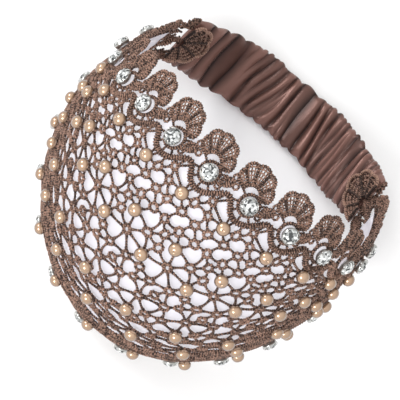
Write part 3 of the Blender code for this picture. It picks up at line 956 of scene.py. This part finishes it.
class FanBorder:
    """The fans along one edge, the rings round the stones and the scroll that passes under them."""

    REAR_REACH = 0.79
    LOBES = 5
    LOBE_RISE = 1.1
    RIBS = 4
    ARCS = (0.24, 0.46, 0.66, 0.85)
    HEART_RADIUS = 4.4
    TIE_SHARES = np.array([[4.5], [6.4], [8.0]])
    PETAL_LEAN = np.array(((0.80, 0.60), (-0.60, 0.80)))

    def __init__(self, lace: FlatLace, edge: Edge) -> None:
        """Draws one fan unit.

        Args:
            lace: the flat lace.
            edge: the edge that the border runs along.
        """
        self.lace = lace
        self.edge = edge
        self.reach = 1.0 if edge is Edge.FRONT else self.REAR_REACH
        self.rim = self._rim()
        self.scroll = smooth_path(SCROLL, 25)
        self.unit = [*self._fan(), *self._rings(), *self._petal(), (self.scroll, Cord.SCROLL, False)]

    def _rim(self) -> Array:
        """Rim of one fan, with lobes that bulge out of a smooth curve.

        Returns:
            Points of (run, rise) in millimetres.
        """
        count = self.LOBES * 2 * self.RIBS + 1
        base = smooth_path(FAN_RIM, count)
        ahead = np.gradient(base, axis=0)
        out = np.column_stack((-ahead[:, 1], ahead[:, 0])) / np.linalg.norm(ahead, axis=1, keepdims=True)
        lobe = np.abs(np.sin(np.linspace(0, self.LOBES * math.pi, count)))
        return base + out * (self.LOBE_RISE * (lobe ** 0.7 - 0.4))[:, None]

    def flat(self, middle: float, spots: Any) -> Array:
        """Flat lace points round a stone. The rear edge is turned half round.

        Args:
            middle: the stone's distance along the lace.
            spots: points of (run, rise) in millimetres.
        Returns:
            The flat points.
        """
        side = self.edge.value
        run, rise = (np.asarray(spots, float) * MM).T
        depth = self.lace.size.stone_inset - np.where(rise > 0, self.reach, 1.0) * rise
        return np.column_stack((middle - side * run, side * (self.lace.crown / 2 - depth)))

    def build(self, finish: Material) -> Thing:
        """Draws and grows the border.

        Args:
            finish: the lace's material.
        Returns:
            The border's object.
        """
        cords = Cords(self.lace)
        for start in self.lace.repeats():
            middle = start + self.lace.size.pitch / 2
            for spots, cord, closed in self.unit:
                cords.add(self.flat(middle, spots), cord, closed)
        return cords.grow(f"lace_fans_{self.edge.name.lower()}", finish)

    def _fan(self) -> list:
        """Rim, ribs and rows of one fan; the holes between them are the pin holes.

        Returns:
            Cords as (points of run and rise in millimetres, kind, whether closed).
        """
        heart = np.array(FAN_HEART)
        away = self.rim - heart
        inner = heart + away / np.linalg.norm(away, axis=1, keepdims=True) * self.HEART_RADIUS
        cords = []
        for number in range(0, len(self.rim), 2):
            kind = Cord.RIB if number % (2 * self.RIBS) else Cord.VALLEY
            line = inner[number] + (self.rim[number] - inner[number]) * np.linspace(0, 1, 4)[:, None]
            cords.append((line, kind, False))
        cords += [((inner + (self.rim - inner) * share)[::2], Cord.ROW, False) for share in self.ARCS]
        return cords + [(self.rim, Cord.RIM, False), (inner[::2], Cord.HEART, False)]

    def _rings(self) -> list:
        """Ring that holds the stone, and short bars to the cords round it, in the form of _fan."""
        ties = [(head * self.TIE_SHARES, Cord.STONE_TIE, False) for head in polar(np.array(STONE_TIES))]
        return [(polar(around(20)) * self.TIE_SHARES[0], Cord.STONE_RING, True), *ties]

    def _petal(self) -> list:
        """Small filled leaf beside the stone, and the little rings round it.

        Returns:
            Cords in the form of _fan.
        """
        heads = polar(around(14))
        leaf = [((heads * oval) @ self.PETAL_LEAN + PETAL, Cord.LEAF, True) for oval in PETAL_OVALS]
        return leaf + [(heads * radius + (run, rise), Cord.RINGLET, True) for run, rise, radius in RINGLETS]

    def scroll_line(self) -> Array:
        """Flat points of the scroll over three repeats, from the first repeat's start."""
        pitch = self.lace.size.pitch
        return np.vstack([self.flat(pitch * (step + 0.5), self.scroll) for step in (-1, 0, 1)])


def turned(profile: tuple, sides: int) -> bmesh.types.BMesh:
    """Smooth shape turned from a profile.

    Args:
        profile: (radius, height) in millimetres, from the bottom's middle to the top's.
        sides: sides of the shape.
    Returns:
        The shape.
    """
    shape = bmesh.new()
    loops = []
    for radius, height in profile:
        turns = around(sides if radius else 1)
        loops.append([shape.verts.new((*(radius * MM * head), height * MM)) for head in polar(turns)])
    skin(shape, loops)
    for face in shape.faces:
        face.smooth = True
    return shape


def skin(shape: bmesh.types.BMesh, loops: list) -> None:
    """Adds the faces between each loop of corners and the next.

    Args:
        shape: the shape.
        loops: lists of corners; a list of one is a pole.
    """
    for low, high in zip(loops, loops[1:]):
        sides = max(len(low), len(high))
        for side in range(sides):
            after = (side + 1) % sides
            spots = ((low, side), (low, after), (high, after), (high, side))
            corners = [loop[spot % len(loop)] for loop, spot in spots]
            shape.faces.new(list(dict.fromkeys(corners)))


def baked(name: str, shape: bmesh.types.BMesh) -> Mesh:
    """Turns a shape into a mesh.

    Args:
        name: the mesh's name.
        shape: the shape, which is freed.
    Returns:
        The mesh.
    """
    mesh = bpy.data.meshes.new(name)
    shape.to_mesh(mesh)
    shape.free()
    return mesh


def cut_stone() -> Mesh:
    """Brilliant-cut stone: table, star, kite and girdle facets above, pavilion below.

    Returns:
        The mesh.
    """
    shape = bmesh.new()
    radius = 3.45 * MM
    for count, share, height, twist in STONE_RINGS:
        for head in polar(2 * math.pi * (np.arange(count) + twist) / count):
            shape.verts.new((*(radius * share * head), height * MM))
    shape.verts.new((0, 0, -1.7 * MM))
    bmesh.ops.convex_hull(shape, input=shape.verts[:])
    return baked("cut_stone", shape)


def stone_cup() -> Mesh:
    """Metal cup with a rolled rim and eight claws.

    Returns:
        The mesh.
    """
    shape = turned(CUP_PROFILE, 32)
    claws, half_thick, half_wide = 8, 0.15, 0.3
    for claw in range(claws):
        spin = Matrix.Rotation(2 * math.pi * (claw + 0.5) / claws, 4, "Z")
        loops = []
        for x, z in CLAW_PATH:
            corners = [(x + over * half_thick, up * half_wide, z) for over, up in SQUARE]
            loops.append([shape.verts.new(spin @ Vector(corner) * MM) for corner in corners])
        skin(shape, loops)
        shape.faces.new(loops[-1])
        shape.faces.new(loops[0][::-1])
    return baked("stone_cup", shape)


class Ornaments:
    """Pearls and stones set on the lace."""

    PEARL_LIFT = 0.55 * MM
    CUP_LIFT = 0.3 * MM
    STONE_LIFT = 2.1 * MM
    PEARL_SIDES = 24

    def __init__(self, lace: FlatLace) -> None:
        """Keeps the lace that they are set on."""
        self.lace = lace

    def pearl_places(self) -> Array:
        """Flat places of the pearls, where the net is wide enough.

        Returns:
            Distances along and across the lace as cut.
        """
        size = self.lace.size
        places = [(start + along * size.pitch, (across - 0.5) * self.lace.crown)
                  for start in self.lace.repeats() for along, across in PEARL_CHART]
        return np.array([p for p in places if self.lace.gathering(p[0]) > size.gather_most])

    def stone_places(self) -> Array:
        """Places of the stones on both edges.

        Returns:
            Distances along the ring and from its middle line.
        """
        size = self.lace.size
        places = []
        for start in self.lace.repeats():
            spot = start + size.pitch / 2
            if abs(spot) > self.lace.half - size.pitch / 2:
                continue
            half = float(self.lace.ring.width(spot)) / 2
            reach = half - min(size.stone_inset, size.stone_inset_share * 2 * half)
            places += [(spot, -reach), (spot, reach)]
        return np.array(places)

    def _points(self, name: str, along: Array, across: Array, lift: Array) -> Mesh:
        """Point mesh with each point's up and east vectors.

        Args:
            name: the mesh's name.
            along, across, lift: where the ornaments stand on the ring.
        Returns:
            The mesh.
        """
        mesh = bpy.data.meshes.new(name)
        mesh.from_pydata(self.lace.ring.place(along, across, lift).tolist(), [], [])
        east = np.column_stack((polar(np.arange(len(along)) * 2.4), 0.3 * np.ones(len(along))))
        store(mesh, "up", self.lace.ring.normal(along, across), "FLOAT_VECTOR")
        store(mesh, "east", east, "FLOAT_VECTOR")
        return mesh

    def set(self, name: str, pattern: Mesh, finish: Material, *places: Array) -> Thing:
        """Sets a pattern on every place.

        Args:
            name: the piece's name.
            pattern: mesh of one ornament.
            finish: its material.
            places: distances along, shares across and lifts on the ring.
        Returns:
            The finished object.
        """
        thing = shown(name + "_pattern", pattern, finish)
        points = self._points(name + "_points", *places)
        made = grown(name, points, ornament_tree(), {"Pattern": thing, "Finish": finish})
        bpy.data.objects.remove(thing)
        return made

    def pearls(self, finish: Material) -> Thing:
        """The half pearls.

        Args:
            finish: their material.
        Returns:
            Their object.
        """
        along, flat = self.pearl_places().T
        across = self.lace.across(along, flat)
        lift = self.lace.pleat(along, across) + self.PEARL_LIFT
        pearl = baked("pearl", turned(PEARL_PROFILE, self.PEARL_SIDES))
        return self.set("pearls", pearl, finish, along, across, lift)

    def stones(self, glass: Material, metal: Material) -> tuple:
        """The cut stones and their cups.

        Args:
            glass, metal: their materials.
        Returns:
            The objects of the stones and of the cups.
        """
        along, flat = self.stone_places().T
        across = 0.5 + flat / self.lace.ring.width(along)
        lift = np.full(len(along), self.lace.size.wall / 2 + self.CUP_LIFT)
        stones = self.set("cut_stones", cut_stone(), glass, along, across, lift + self.STONE_LIFT)
        return stones, self.set("stone_cups", stone_cup(), metal, along, across, lift)


def sheet_mesh(name: str, skins: list, along: Array, crests: Optional[list] = None) -> Mesh:
    """Closed smooth mesh of two matching grids.

    Args:
        name: the mesh's name.
        skins: outer and inner grid of points.
        along: the grid's distances along the ring.
        crests: how near a fold's top each point of the two skins is, 0 to 1; the satin uses it to paint shade
            into the fold valleys.
    Returns:
        The mesh, normals outwards.
    """
    rows, columns = along.shape
    index = np.arange(rows * columns).reshape(rows, columns)
    outer = np.stack((index[:-1, :-1], index[:-1, 1:], index[1:, 1:], index[1:, :-1]), axis=-1).reshape(-1, 4)
    inner = outer[:, ::-1] + rows * columns
    border = np.concatenate((index[0, :-1], index[:-1, -1], index[-1, :0:-1], index[:0:-1, 0]))
    following = np.roll(border, -1)
    wall = np.stack((following, border, border + rows * columns, following + rows * columns), axis=-1)
    mesh = bpy.data.meshes.new(name)
    points = np.concatenate([grid.reshape(-1, 3) for grid in skins])
    mesh.from_pydata(points.tolist(), [], np.concatenate((outer, inner, wall)).tolist())
    store(mesh, "run", np.tile(along.ravel(), 2))
    if crests is not None:
        store(mesh, "crest", np.concatenate([grid.ravel() for grid in crests]))
    mesh.shade_smooth()
    return mesh


class Lining:
    """The sheer lining inside the lace."""

    LONG = 200
    CROSS = 60
    THICKNESS = 0.25 * MM
    DEPTH = 2.0 * MM
    HEM = 8.0 * MM
    END = 16.0 * MM
    CREASE = 0.14 * MM

    def __init__(self, lace: FlatLace) -> None:
        """Keeps the lace that it backs."""
        self.lace = lace

    def build(self, finish: Material) -> Thing:
        """Thin closed sheet with fine creases.

        Args:
            finish: its material.
        Returns:
            The object.
        """
        along = np.linspace(-1, 1, self.LONG + 1)[:, None] * (self.lace.half - self.END)
        hem = np.minimum(self.HEM / self.lace.ring.width(along), 0.2)
        across = hem + (1 - 2 * hem) * np.linspace(0, 1, self.CROSS + 1)[None]
        along = np.broadcast_to(along, across.shape)
        lift = self._creases(along, across) - self.DEPTH
        skins = [self.lace.ring.place(along, across, lift - side * self.THICKNESS) for side in (0, 1)]
        return shown("sheer_cloth", sheet_mesh("sheer_cloth", skins, along), finish)

    def _creases(self, along: Array, across: Array) -> Array:
        """Height of the fine creases.

        Args:
            along, across: places on the ring.
        Returns:
            The heights.
        """
        u, v = along / MM, across * 150
        wave = np.sin(0.37 * u + 0.21 * v + 2 * np.sin(0.05 * v))
        return self.CREASE * (wave + np.sin(0.23 * v - 0.31 * u + np.sin(0.09 * u)))


class Strap:
    """The ruched satin strap."""

    BUNCHING = 0.38

    def __init__(self, ring: Ring, size: StrapSize) -> None:
        """Keeps the ring and the sizes."""
        self.ring = ring
        self.size = size

    @staticmethod
    def _fold(phase: Array, across: Array, seed: float) -> Array:
        """Height share of the ruched satin, 0 in a sharp valley and 1 on a round crest.

        Args:
            phase: place along the strap, in folds.
            across: shares of the width.
            seed: which face it is, so that the faces differ.
        Returns:
            The shares.
        """
        warp = 0.25 * np.sin(0.61 * phase + seed) + 0.14 * np.sin(1.43 * phase + 2 * seed)
        lean = (0.55 * np.sin(0.83 * phase + 1.7 * seed) + 0.2 * np.sin(2.3 * phase)) * (across - 0.5)
        ripple = 0.07 * np.sin(5.1 * across + 1.9 * phase + seed)
        main = np.abs(np.sin(math.pi * (phase + warp + lean + ripple))) ** 0.9
        tall = 0.72 + 0.28 * np.sin(2.1 * phase + 1.3 * seed + 1.5 * across)
        branch = 1.9 * phase + 1.6 * lean + 0.35 * np.sin(3 * across + phase) + seed
        fork = np.abs(np.sin(math.pi * branch)) ** 0.8
        share = np.clip(0.20 + 0.35 * np.sin(0.93 * phase + 3.1 * seed + 2.8 * across), 0, 0.5)
        return (1 - share) * main * tall + share * fork

    def build(self, finish: Material) -> Thing:
        """Closed strap with fine folds on both faces, flat where it rests.

        Args:
            finish: its material.
        Returns:
            The object.
        """
        size, ring = self.size, self.ring
        start = ring.half_lace + size.gap
        end = ring.length - start
        along = np.linspace(start, end, size.folds * size.steps + 1)[:, None]
        along, across = np.broadcast_arrays(along, np.linspace(0, 1, size.rows + 1)[None])
        share = (along - start) / (end - start)
        phase = (share + self.BUNCHING * share * (1 - share)) * size.folds
        fade = np.clip(np.minimum(along - start, end - along) / size.fade, 0, 1)
        aside = np.abs(2 * across - 1)
        body = np.sqrt(np.clip(1 - aside ** 5, 0, 1))
        out = size.edge_wave / ring.width(along) * fade
        wave = 2 * (self._fold(phase, across, 2.0) - 0.5)
        spread = across + np.sign(across - 0.5) * out * wave * aside ** 6
        rest = (np.abs(along - ring.length / 2) < size.rest_half_length) & (aside < 0.85)
        skins, crests = [], []
        for side in (1, -1):
            crest = self._fold(phase, across, 1.0 + side)
            # The crest share also colours the satin, where low values paint shade into the fold valleys.
            crests.append(1 - (1 - crest) * fade)
            half = 0.35 * size.wall * (1 - 0.4 * fade)
            lift = side * (half + crest * size.fold_height * fade) * (0.10 + 0.90 * body)
            points = ring.place(along, spread, lift)
            if side > 0:
                points[..., 2] = np.where(rest, np.minimum(points[..., 2], size.rest_lift), points[..., 2])
            skins.append(points)
        return shown("ruched_satin", sheet_mesh("ruched_satin", skins, along, crests), finish)


class EndMotif:
    """The lace motif over one seam, on the ring's inner face. It is the surface that its own cords lie on."""

    REACH = 20 * MM
    INSIDE = 3.9 * MM
    LOBES = 5
    ROWS = (0.35, 0.52, 0.68, 0.84)

    def __init__(self, ring: Ring, side: int) -> None:
        """Keeps the ring.

        Args:
            ring: the ring surface.
            side: -1 for the left seam, 1 for the right one.
        """
        self.ring = ring
        self.side = side
        self.half = math.inf

    def place(self, flat: Array, lift: Any) -> Array:
        """Points of the motif.

        Args:
            flat: distances past the seam and from the middle line.
            lift: heights above the motif.
        Returns:
            The points.
        """
        along = self.side * self.ring.half_lace + self.side * flat[..., 0]
        across = 0.5 + flat[..., 1] / self.ring.width(along)
        return self.ring.place(along, across, lift - self.INSIDE)

    def build(self, name: str, finish: Material) -> Thing:
        """Small fan of ribs, rows and a thick scalloped outline.

        Args:
            name: the piece's name.
            finish: its material.
        Returns:
            The object.
        """
        cords = Cords(self)
        width = 0.86 * float(self.ring.width(self.side * self.ring.half_lace)) / 2
        turns = np.linspace(-1.5, 1.5, 6 * self.LOBES + 1)
        hub = np.array((-4 * MM, 0.0))
        lobes = np.abs(np.sin(np.linspace(0, self.LOBES * math.pi, len(turns)))) ** 0.6
        reach = self.REACH * (1 - 0.40 * np.abs(np.sin(turns)) ** 1.6) * (0.88 + 0.12 * lobes)
        heads = polar(turns) * (1, width / (12 * MM))
        for number in range(0, len(heads), 2):
            line = hub + heads[number] * np.linspace(3 * MM, reach[number], 5)[:, None]
            cords.add(line, Cord.END_RIB if number % 6 else Cord.END_VALLEY)
        for share in self.ROWS:
            cords.add(hub + heads * (reach * share)[:, None], Cord.END_ROW)
        cords.add(hub + heads * reach[:, None], Cord.END_RIM)
        return cords.grow(name, finish)


class Paint(Nodes):
    """Builds one procedural material."""

    def __init__(self, name: str) -> None:
        """Starts from a plain shader.

        Args:
            name: the material's name.
        """
        self.material = bpy.data.materials.new(name)
        self.material.use_nodes = True
        super().__init__(self.material.node_tree)
        self.shader = self.tree.nodes["Principled BSDF"]

    def attribute(self, name: str) -> bpy.types.NodeSocket:
        """Factor of a named attribute."""
        return self.add("ShaderNodeAttribute", attribute_name=name).outputs["Fac"]

    def math(self, operation: str, *values: Any) -> bpy.types.NodeSocket:
        """Result of a math node."""
        return self.add("ShaderNodeMath", dict(enumerate(values)), operation=operation).outputs[0]

    def noise(self, scale: float, detail: float = 2.0) -> bpy.types.NodeSocket:
        """Factor of a noise texture in object coordinates."""
        links = {"Scale": scale, "Detail": detail, "Vector": self.place()}
        return self.add("ShaderNodeTexNoise", links).outputs[0]

    def place(self) -> bpy.types.NodeSocket:
        """Object coordinates."""
        return self.add("ShaderNodeTexCoord").outputs["Object"]

    def mix(self, factor: bpy.types.NodeSocket, first: Any, second: Any) -> bpy.types.NodeSocket:
        """Mixed colour.

        Args:
            factor: share of the second colour.
            first, second: sockets, or colours of three numbers.
        Returns:
            The colour's socket.
        """
        first, second = ((*c, 1.0) if isinstance(c, tuple) else c for c in (first, second))
        return self.add("ShaderNodeMix", {0: factor, 6: first, 7: second}, data_type="RGBA").outputs[2]

    def bump(self, height: bpy.types.NodeSocket, distance: float, strength: float) -> bpy.types.NodeSocket:
        """Normal of a bump map."""
        links = {"Height": height, "Distance": distance, "Strength": strength}
        return self.add("ShaderNodeBump", links).outputs[0]

    def set(self, **values: Any) -> Material:
        """Sets the shader's sockets; a name's underscores stand for spaces.

        Args:
            values: sockets or values.
        Returns:
            The material.
        """
        for name, value in values.items():
            self.plug(self.shader, name.replace("_", " "), value)
        return self.material


def lace_material() -> Material:
    """Stitched cord: fine ridges across each cord, painted shade in the narrow necks between stitches,
    painted light on the stitch tops, and thread tones that vary at random.

    Returns:
        The material.
    """
    paint, finish = Paint("stitched lace"), LACE_FINISH
    bead, tone = paint.attribute("bead"), paint.attribute("tone")
    mottle = paint.noise(1300.0, 3.0)
    # The bead value paints the narrow necks between stitches dark as shade and the fat stitch tops light.
    shade = paint.math("MULTIPLY_ADD", bead, 0.80, -0.42)
    shade = paint.math("ADD", shade, paint.math("MULTIPLY_ADD", mottle, 3.2, -1.6))
    shade = paint.math("MULTIPLY_ADD", paint.math("ADD", shade, tone), 1.35, -0.30)
    patch = paint.math("MULTIPLY", paint.noise(45.0), 0.35)
    colour = paint.mix(patch, paint.mix(shade, finish.dark, finish.light), THREAD_PATCH)
    ridges = paint.bump(paint.math("ADD", bead, mottle), 0.25 * MM, 0.8)
    return paint.set(Base_Color=colour, Roughness=finish.roughness, Sheen_Weight=finish.sheen,
                     Specular_IOR_Level=0.25, Normal=ridges)


def satin_material() -> Material:
    """Satin: fine weave, soft sheen, random mottling, and painted shade that darkens the fold valleys while
    the crests stay light.

    Returns:
        The material.
    """
    paint, finish = Paint("ruched satin"), SATIN_FINISH
    weave = paint.math("SINE", paint.math("MULTIPLY", paint.attribute("run"), 2 * math.pi / (0.35 * MM)))
    # depth is the share of the light colour: high on the fold crests and low in the valleys, which paints
    # shade into the valleys.
    depth = paint.math("MULTIPLY_ADD", paint.math("POWER", paint.attribute("crest"), 0.9), 1.3, -0.10)
    depth = paint.math("ADD", depth, paint.math("MULTIPLY_ADD", paint.noise(60.0, 3.0), 0.4, -0.2))
    height = paint.math("ADD", paint.math("MULTIPLY", weave, 0.25), paint.noise(700.0, 3.0))
    return paint.set(Base_Color=paint.mix(depth, finish.dark, finish.light), Roughness=finish.roughness,
                     Sheen_Weight=finish.sheen, Metallic=0.3, Specular_IOR_Level=0.35,
                     Normal=paint.bump(height, 0.12 * MM, 0.35))


def lining_material() -> Material:
    """Sheer cloth: pale, a little see-through, with a fine weave, and painted light: an emission that lights
    it evenly and washes out the shade under the lace.

    Returns:
        The material.
    """
    paint, finish = Paint("sheer cloth"), LINING_FINISH
    colour = paint.mix(paint.noise(38.0, 3.0), finish.dark, finish.light)
    return paint.set(Base_Color=colour, Roughness=finish.roughness, Alpha=0.40,
                     Emission_Color=(*PAINTED_GLOW_COLOUR, 1.0), Emission_Strength=finish.painted_glow,
                     Normal=paint.bump(paint.noise(1500.0), 0.1 * MM, 0.3))


def pearl_material() -> Material:
    """Pearl lustre: a warm body under a clear coat, with painted shade that darkens it towards its outline,
    round the foot.

    Returns:
        The material.
    """
    paint, finish = Paint("pearl lustre"), PEARL_FINISH
    painted_edge_shade = paint.add("ShaderNodeLayerWeight", {"Blend": 0.62}).outputs["Facing"]
    rough = paint.math("MULTIPLY_ADD", paint.noise(600.0), 0.12, finish.roughness - 0.06)
    return paint.set(Base_Color=paint.mix(painted_edge_shade, finish.light, finish.dark), Roughness=rough, Metallic=0.6,
                     Coat_Weight=finish.coat, Coat_Roughness=0.08)


def glass_material() -> Material:
    """Cut glass with painted glints: small bright and dark cells in its colour stand in for the reflections
    in its facets.

    Returns:
        The material.
    """
    paint, finish = Paint("cut glass"), GLASS_FINISH
    # Voronoi cells paint bright glints and dark reflections into the stone's colour.
    facets = paint.add("ShaderNodeTexVoronoi", {"Vector": paint.place(), "Scale": 1050.0}).outputs["Color"]
    painted_glint = paint.add("ShaderNodeSeparateColor", {"Color": facets}).outputs[0]
    colour = paint.mix(paint.math("MULTIPLY_ADD", painted_glint, 1.9, -0.55), finish.dark, finish.light)
    return paint.set(Base_Color=colour, Roughness=finish.roughness, Metallic=0.35, IOR=1.62,
                     Coat_Weight=finish.coat, Coat_Roughness=0.02)


def metal_material() -> Material:
    """Silver-coloured cup.

    Returns:
        The material.
    """
    paint, finish = Paint("silver cup"), METAL_FINISH
    colour = paint.mix(paint.noise(500.0), finish.light, finish.dark)
    return paint.set(Base_Color=colour, Roughness=finish.roughness, Metallic=1.0)


class Studio:
    """Floor, light and camera."""

    FLOOR_REACH = 40.0
    WORLD_STRENGTH = 0.88
    LAMPS = (("key", (-0.15, -0.75, 0.85), 1.5), ("side", (-0.80, 0.15, 0.60), 1.1))
    LAMP_ANGLE = math.radians(24)
    LAMP_AIM = (0, 0, 0.05)
    CAMERA = (-0.0013, -0.1179, 0.5693)
    TILT = math.radians(12)
    ROLL = math.radians(41)
    LENS = 103.95
    SENSOR = 36
    SHIFT = (0.00943, -0.0082)

    def build(self) -> None:
        """Sets the stage up."""
        self._floor()
        self._lights()
        self._camera()

    def _floor(self) -> None:
        """Large plain floor."""
        mesh = bpy.data.meshes.new("floor")
        corners = [(x * self.FLOOR_REACH, y * self.FLOOR_REACH, 0) for x, y in SQUARE]
        mesh.from_pydata(corners, [], [(0, 1, 2, 3)])
        colour, roughness = (*FLOOR_FINISH.light, 1.0), FLOOR_FINISH.roughness
        floor = shown("floor", mesh, Paint("pale floor").set(Base_Color=colour, Roughness=roughness))

    def _lights(self) -> None:
        """White surroundings and the soft distant lamps."""
        world = bpy.data.worlds.new("soft studio")
        bpy.context.scene.world = world
        world.use_nodes = True
        background = world.node_tree.nodes["Background"].inputs
        background["Color"].default_value = (1.0, 1.0, 1.0, 1.0)
        background["Strength"].default_value = self.WORLD_STRENGTH
        bpy.context.scene.view_settings.view_transform = "Standard"
        for name, spot, strength in self.LAMPS:
            data = bpy.data.lights.new(name, "SUN")
            data.angle = self.LAMP_ANGLE
            data.energy = strength
            lamp = bpy.data.objects.new(name, data)
            lamp.location = spot
            lamp.rotation_euler = (Vector(self.LAMP_AIM) - Vector(spot)).to_track_quat("-Z", "Y").to_euler()
            bpy.context.scene.collection.objects.link(lamp)

    def _camera(self) -> None:
        """Camera at the photo's angle."""
        data = bpy.data.cameras.new("camera")
        data.sensor_width = self.SENSOR
        data.lens = self.LENS
        data.shift_x, data.shift_y = self.SHIFT
        data.dof.use_dof = False
        camera = bpy.data.objects.new("camera", data)
        c, s = math.cos(self.TILT), math.sin(self.TILT)
        cr, sr = math.cos(self.ROLL), math.sin(self.ROLL)
        axes = Matrix(((cr, sr * c, sr * s), (-sr, cr * c, cr * s), (0, -s, c))).transposed()
        camera.matrix_world = Matrix.Translation(self.CAMERA) @ axes.to_4x4()
        bpy.context.scene.collection.objects.link(camera)
        bpy.context.scene.camera = camera


def main() -> None:
    """Builds the looks round the frame."""
    logging.basicConfig(level=logging.INFO, format="%(name)s: %(message)s")
    ring = Ring(RingSize())
    lace = FlatLace(ring, LaceSize())
    log.info("ring %.1f mm round, lace %.1f mm wide", ring.length / MM, lace.crown / MM)
    thread = lace_material()
    eyelets, bars = LaceNet(lace).build(thread)
    borders = [FanBorder(lace, edge).build(thread) for edge in Edge]
    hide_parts("lace_panel")
    ornaments = Ornaments(lace)
    pearls = ornaments.pearls(pearl_material())
    stones, cups = ornaments.stones(glass_material(), metal_material())
    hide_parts(*[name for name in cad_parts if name.startswith("rhinestone")])
    cloth = Lining(lace).build(lining_material())
    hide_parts("sheer_lining")
    strap = Strap(ring, StrapSize()).build(satin_material())
    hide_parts("satin_strap")
    ends = []
    for side, name in ((-1, "left"), (1, "right")):
        end = EndMotif(ring, side).build("end_motif_" + name, thread)
        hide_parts("lace_end_" + name)
        ends.append(end)
    for piece in [eyelets, bars, *borders, *ends]:
        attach(piece, "root")
    others = (pearls, "pearl"), (stones, "stone"), (cups, "setting"), (cloth, "lining"), (strap, "satin")
    for piece, slot in others:
        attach(piece, "root")
    Studio().build()
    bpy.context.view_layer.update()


if __name__ == "__main__":
    main()
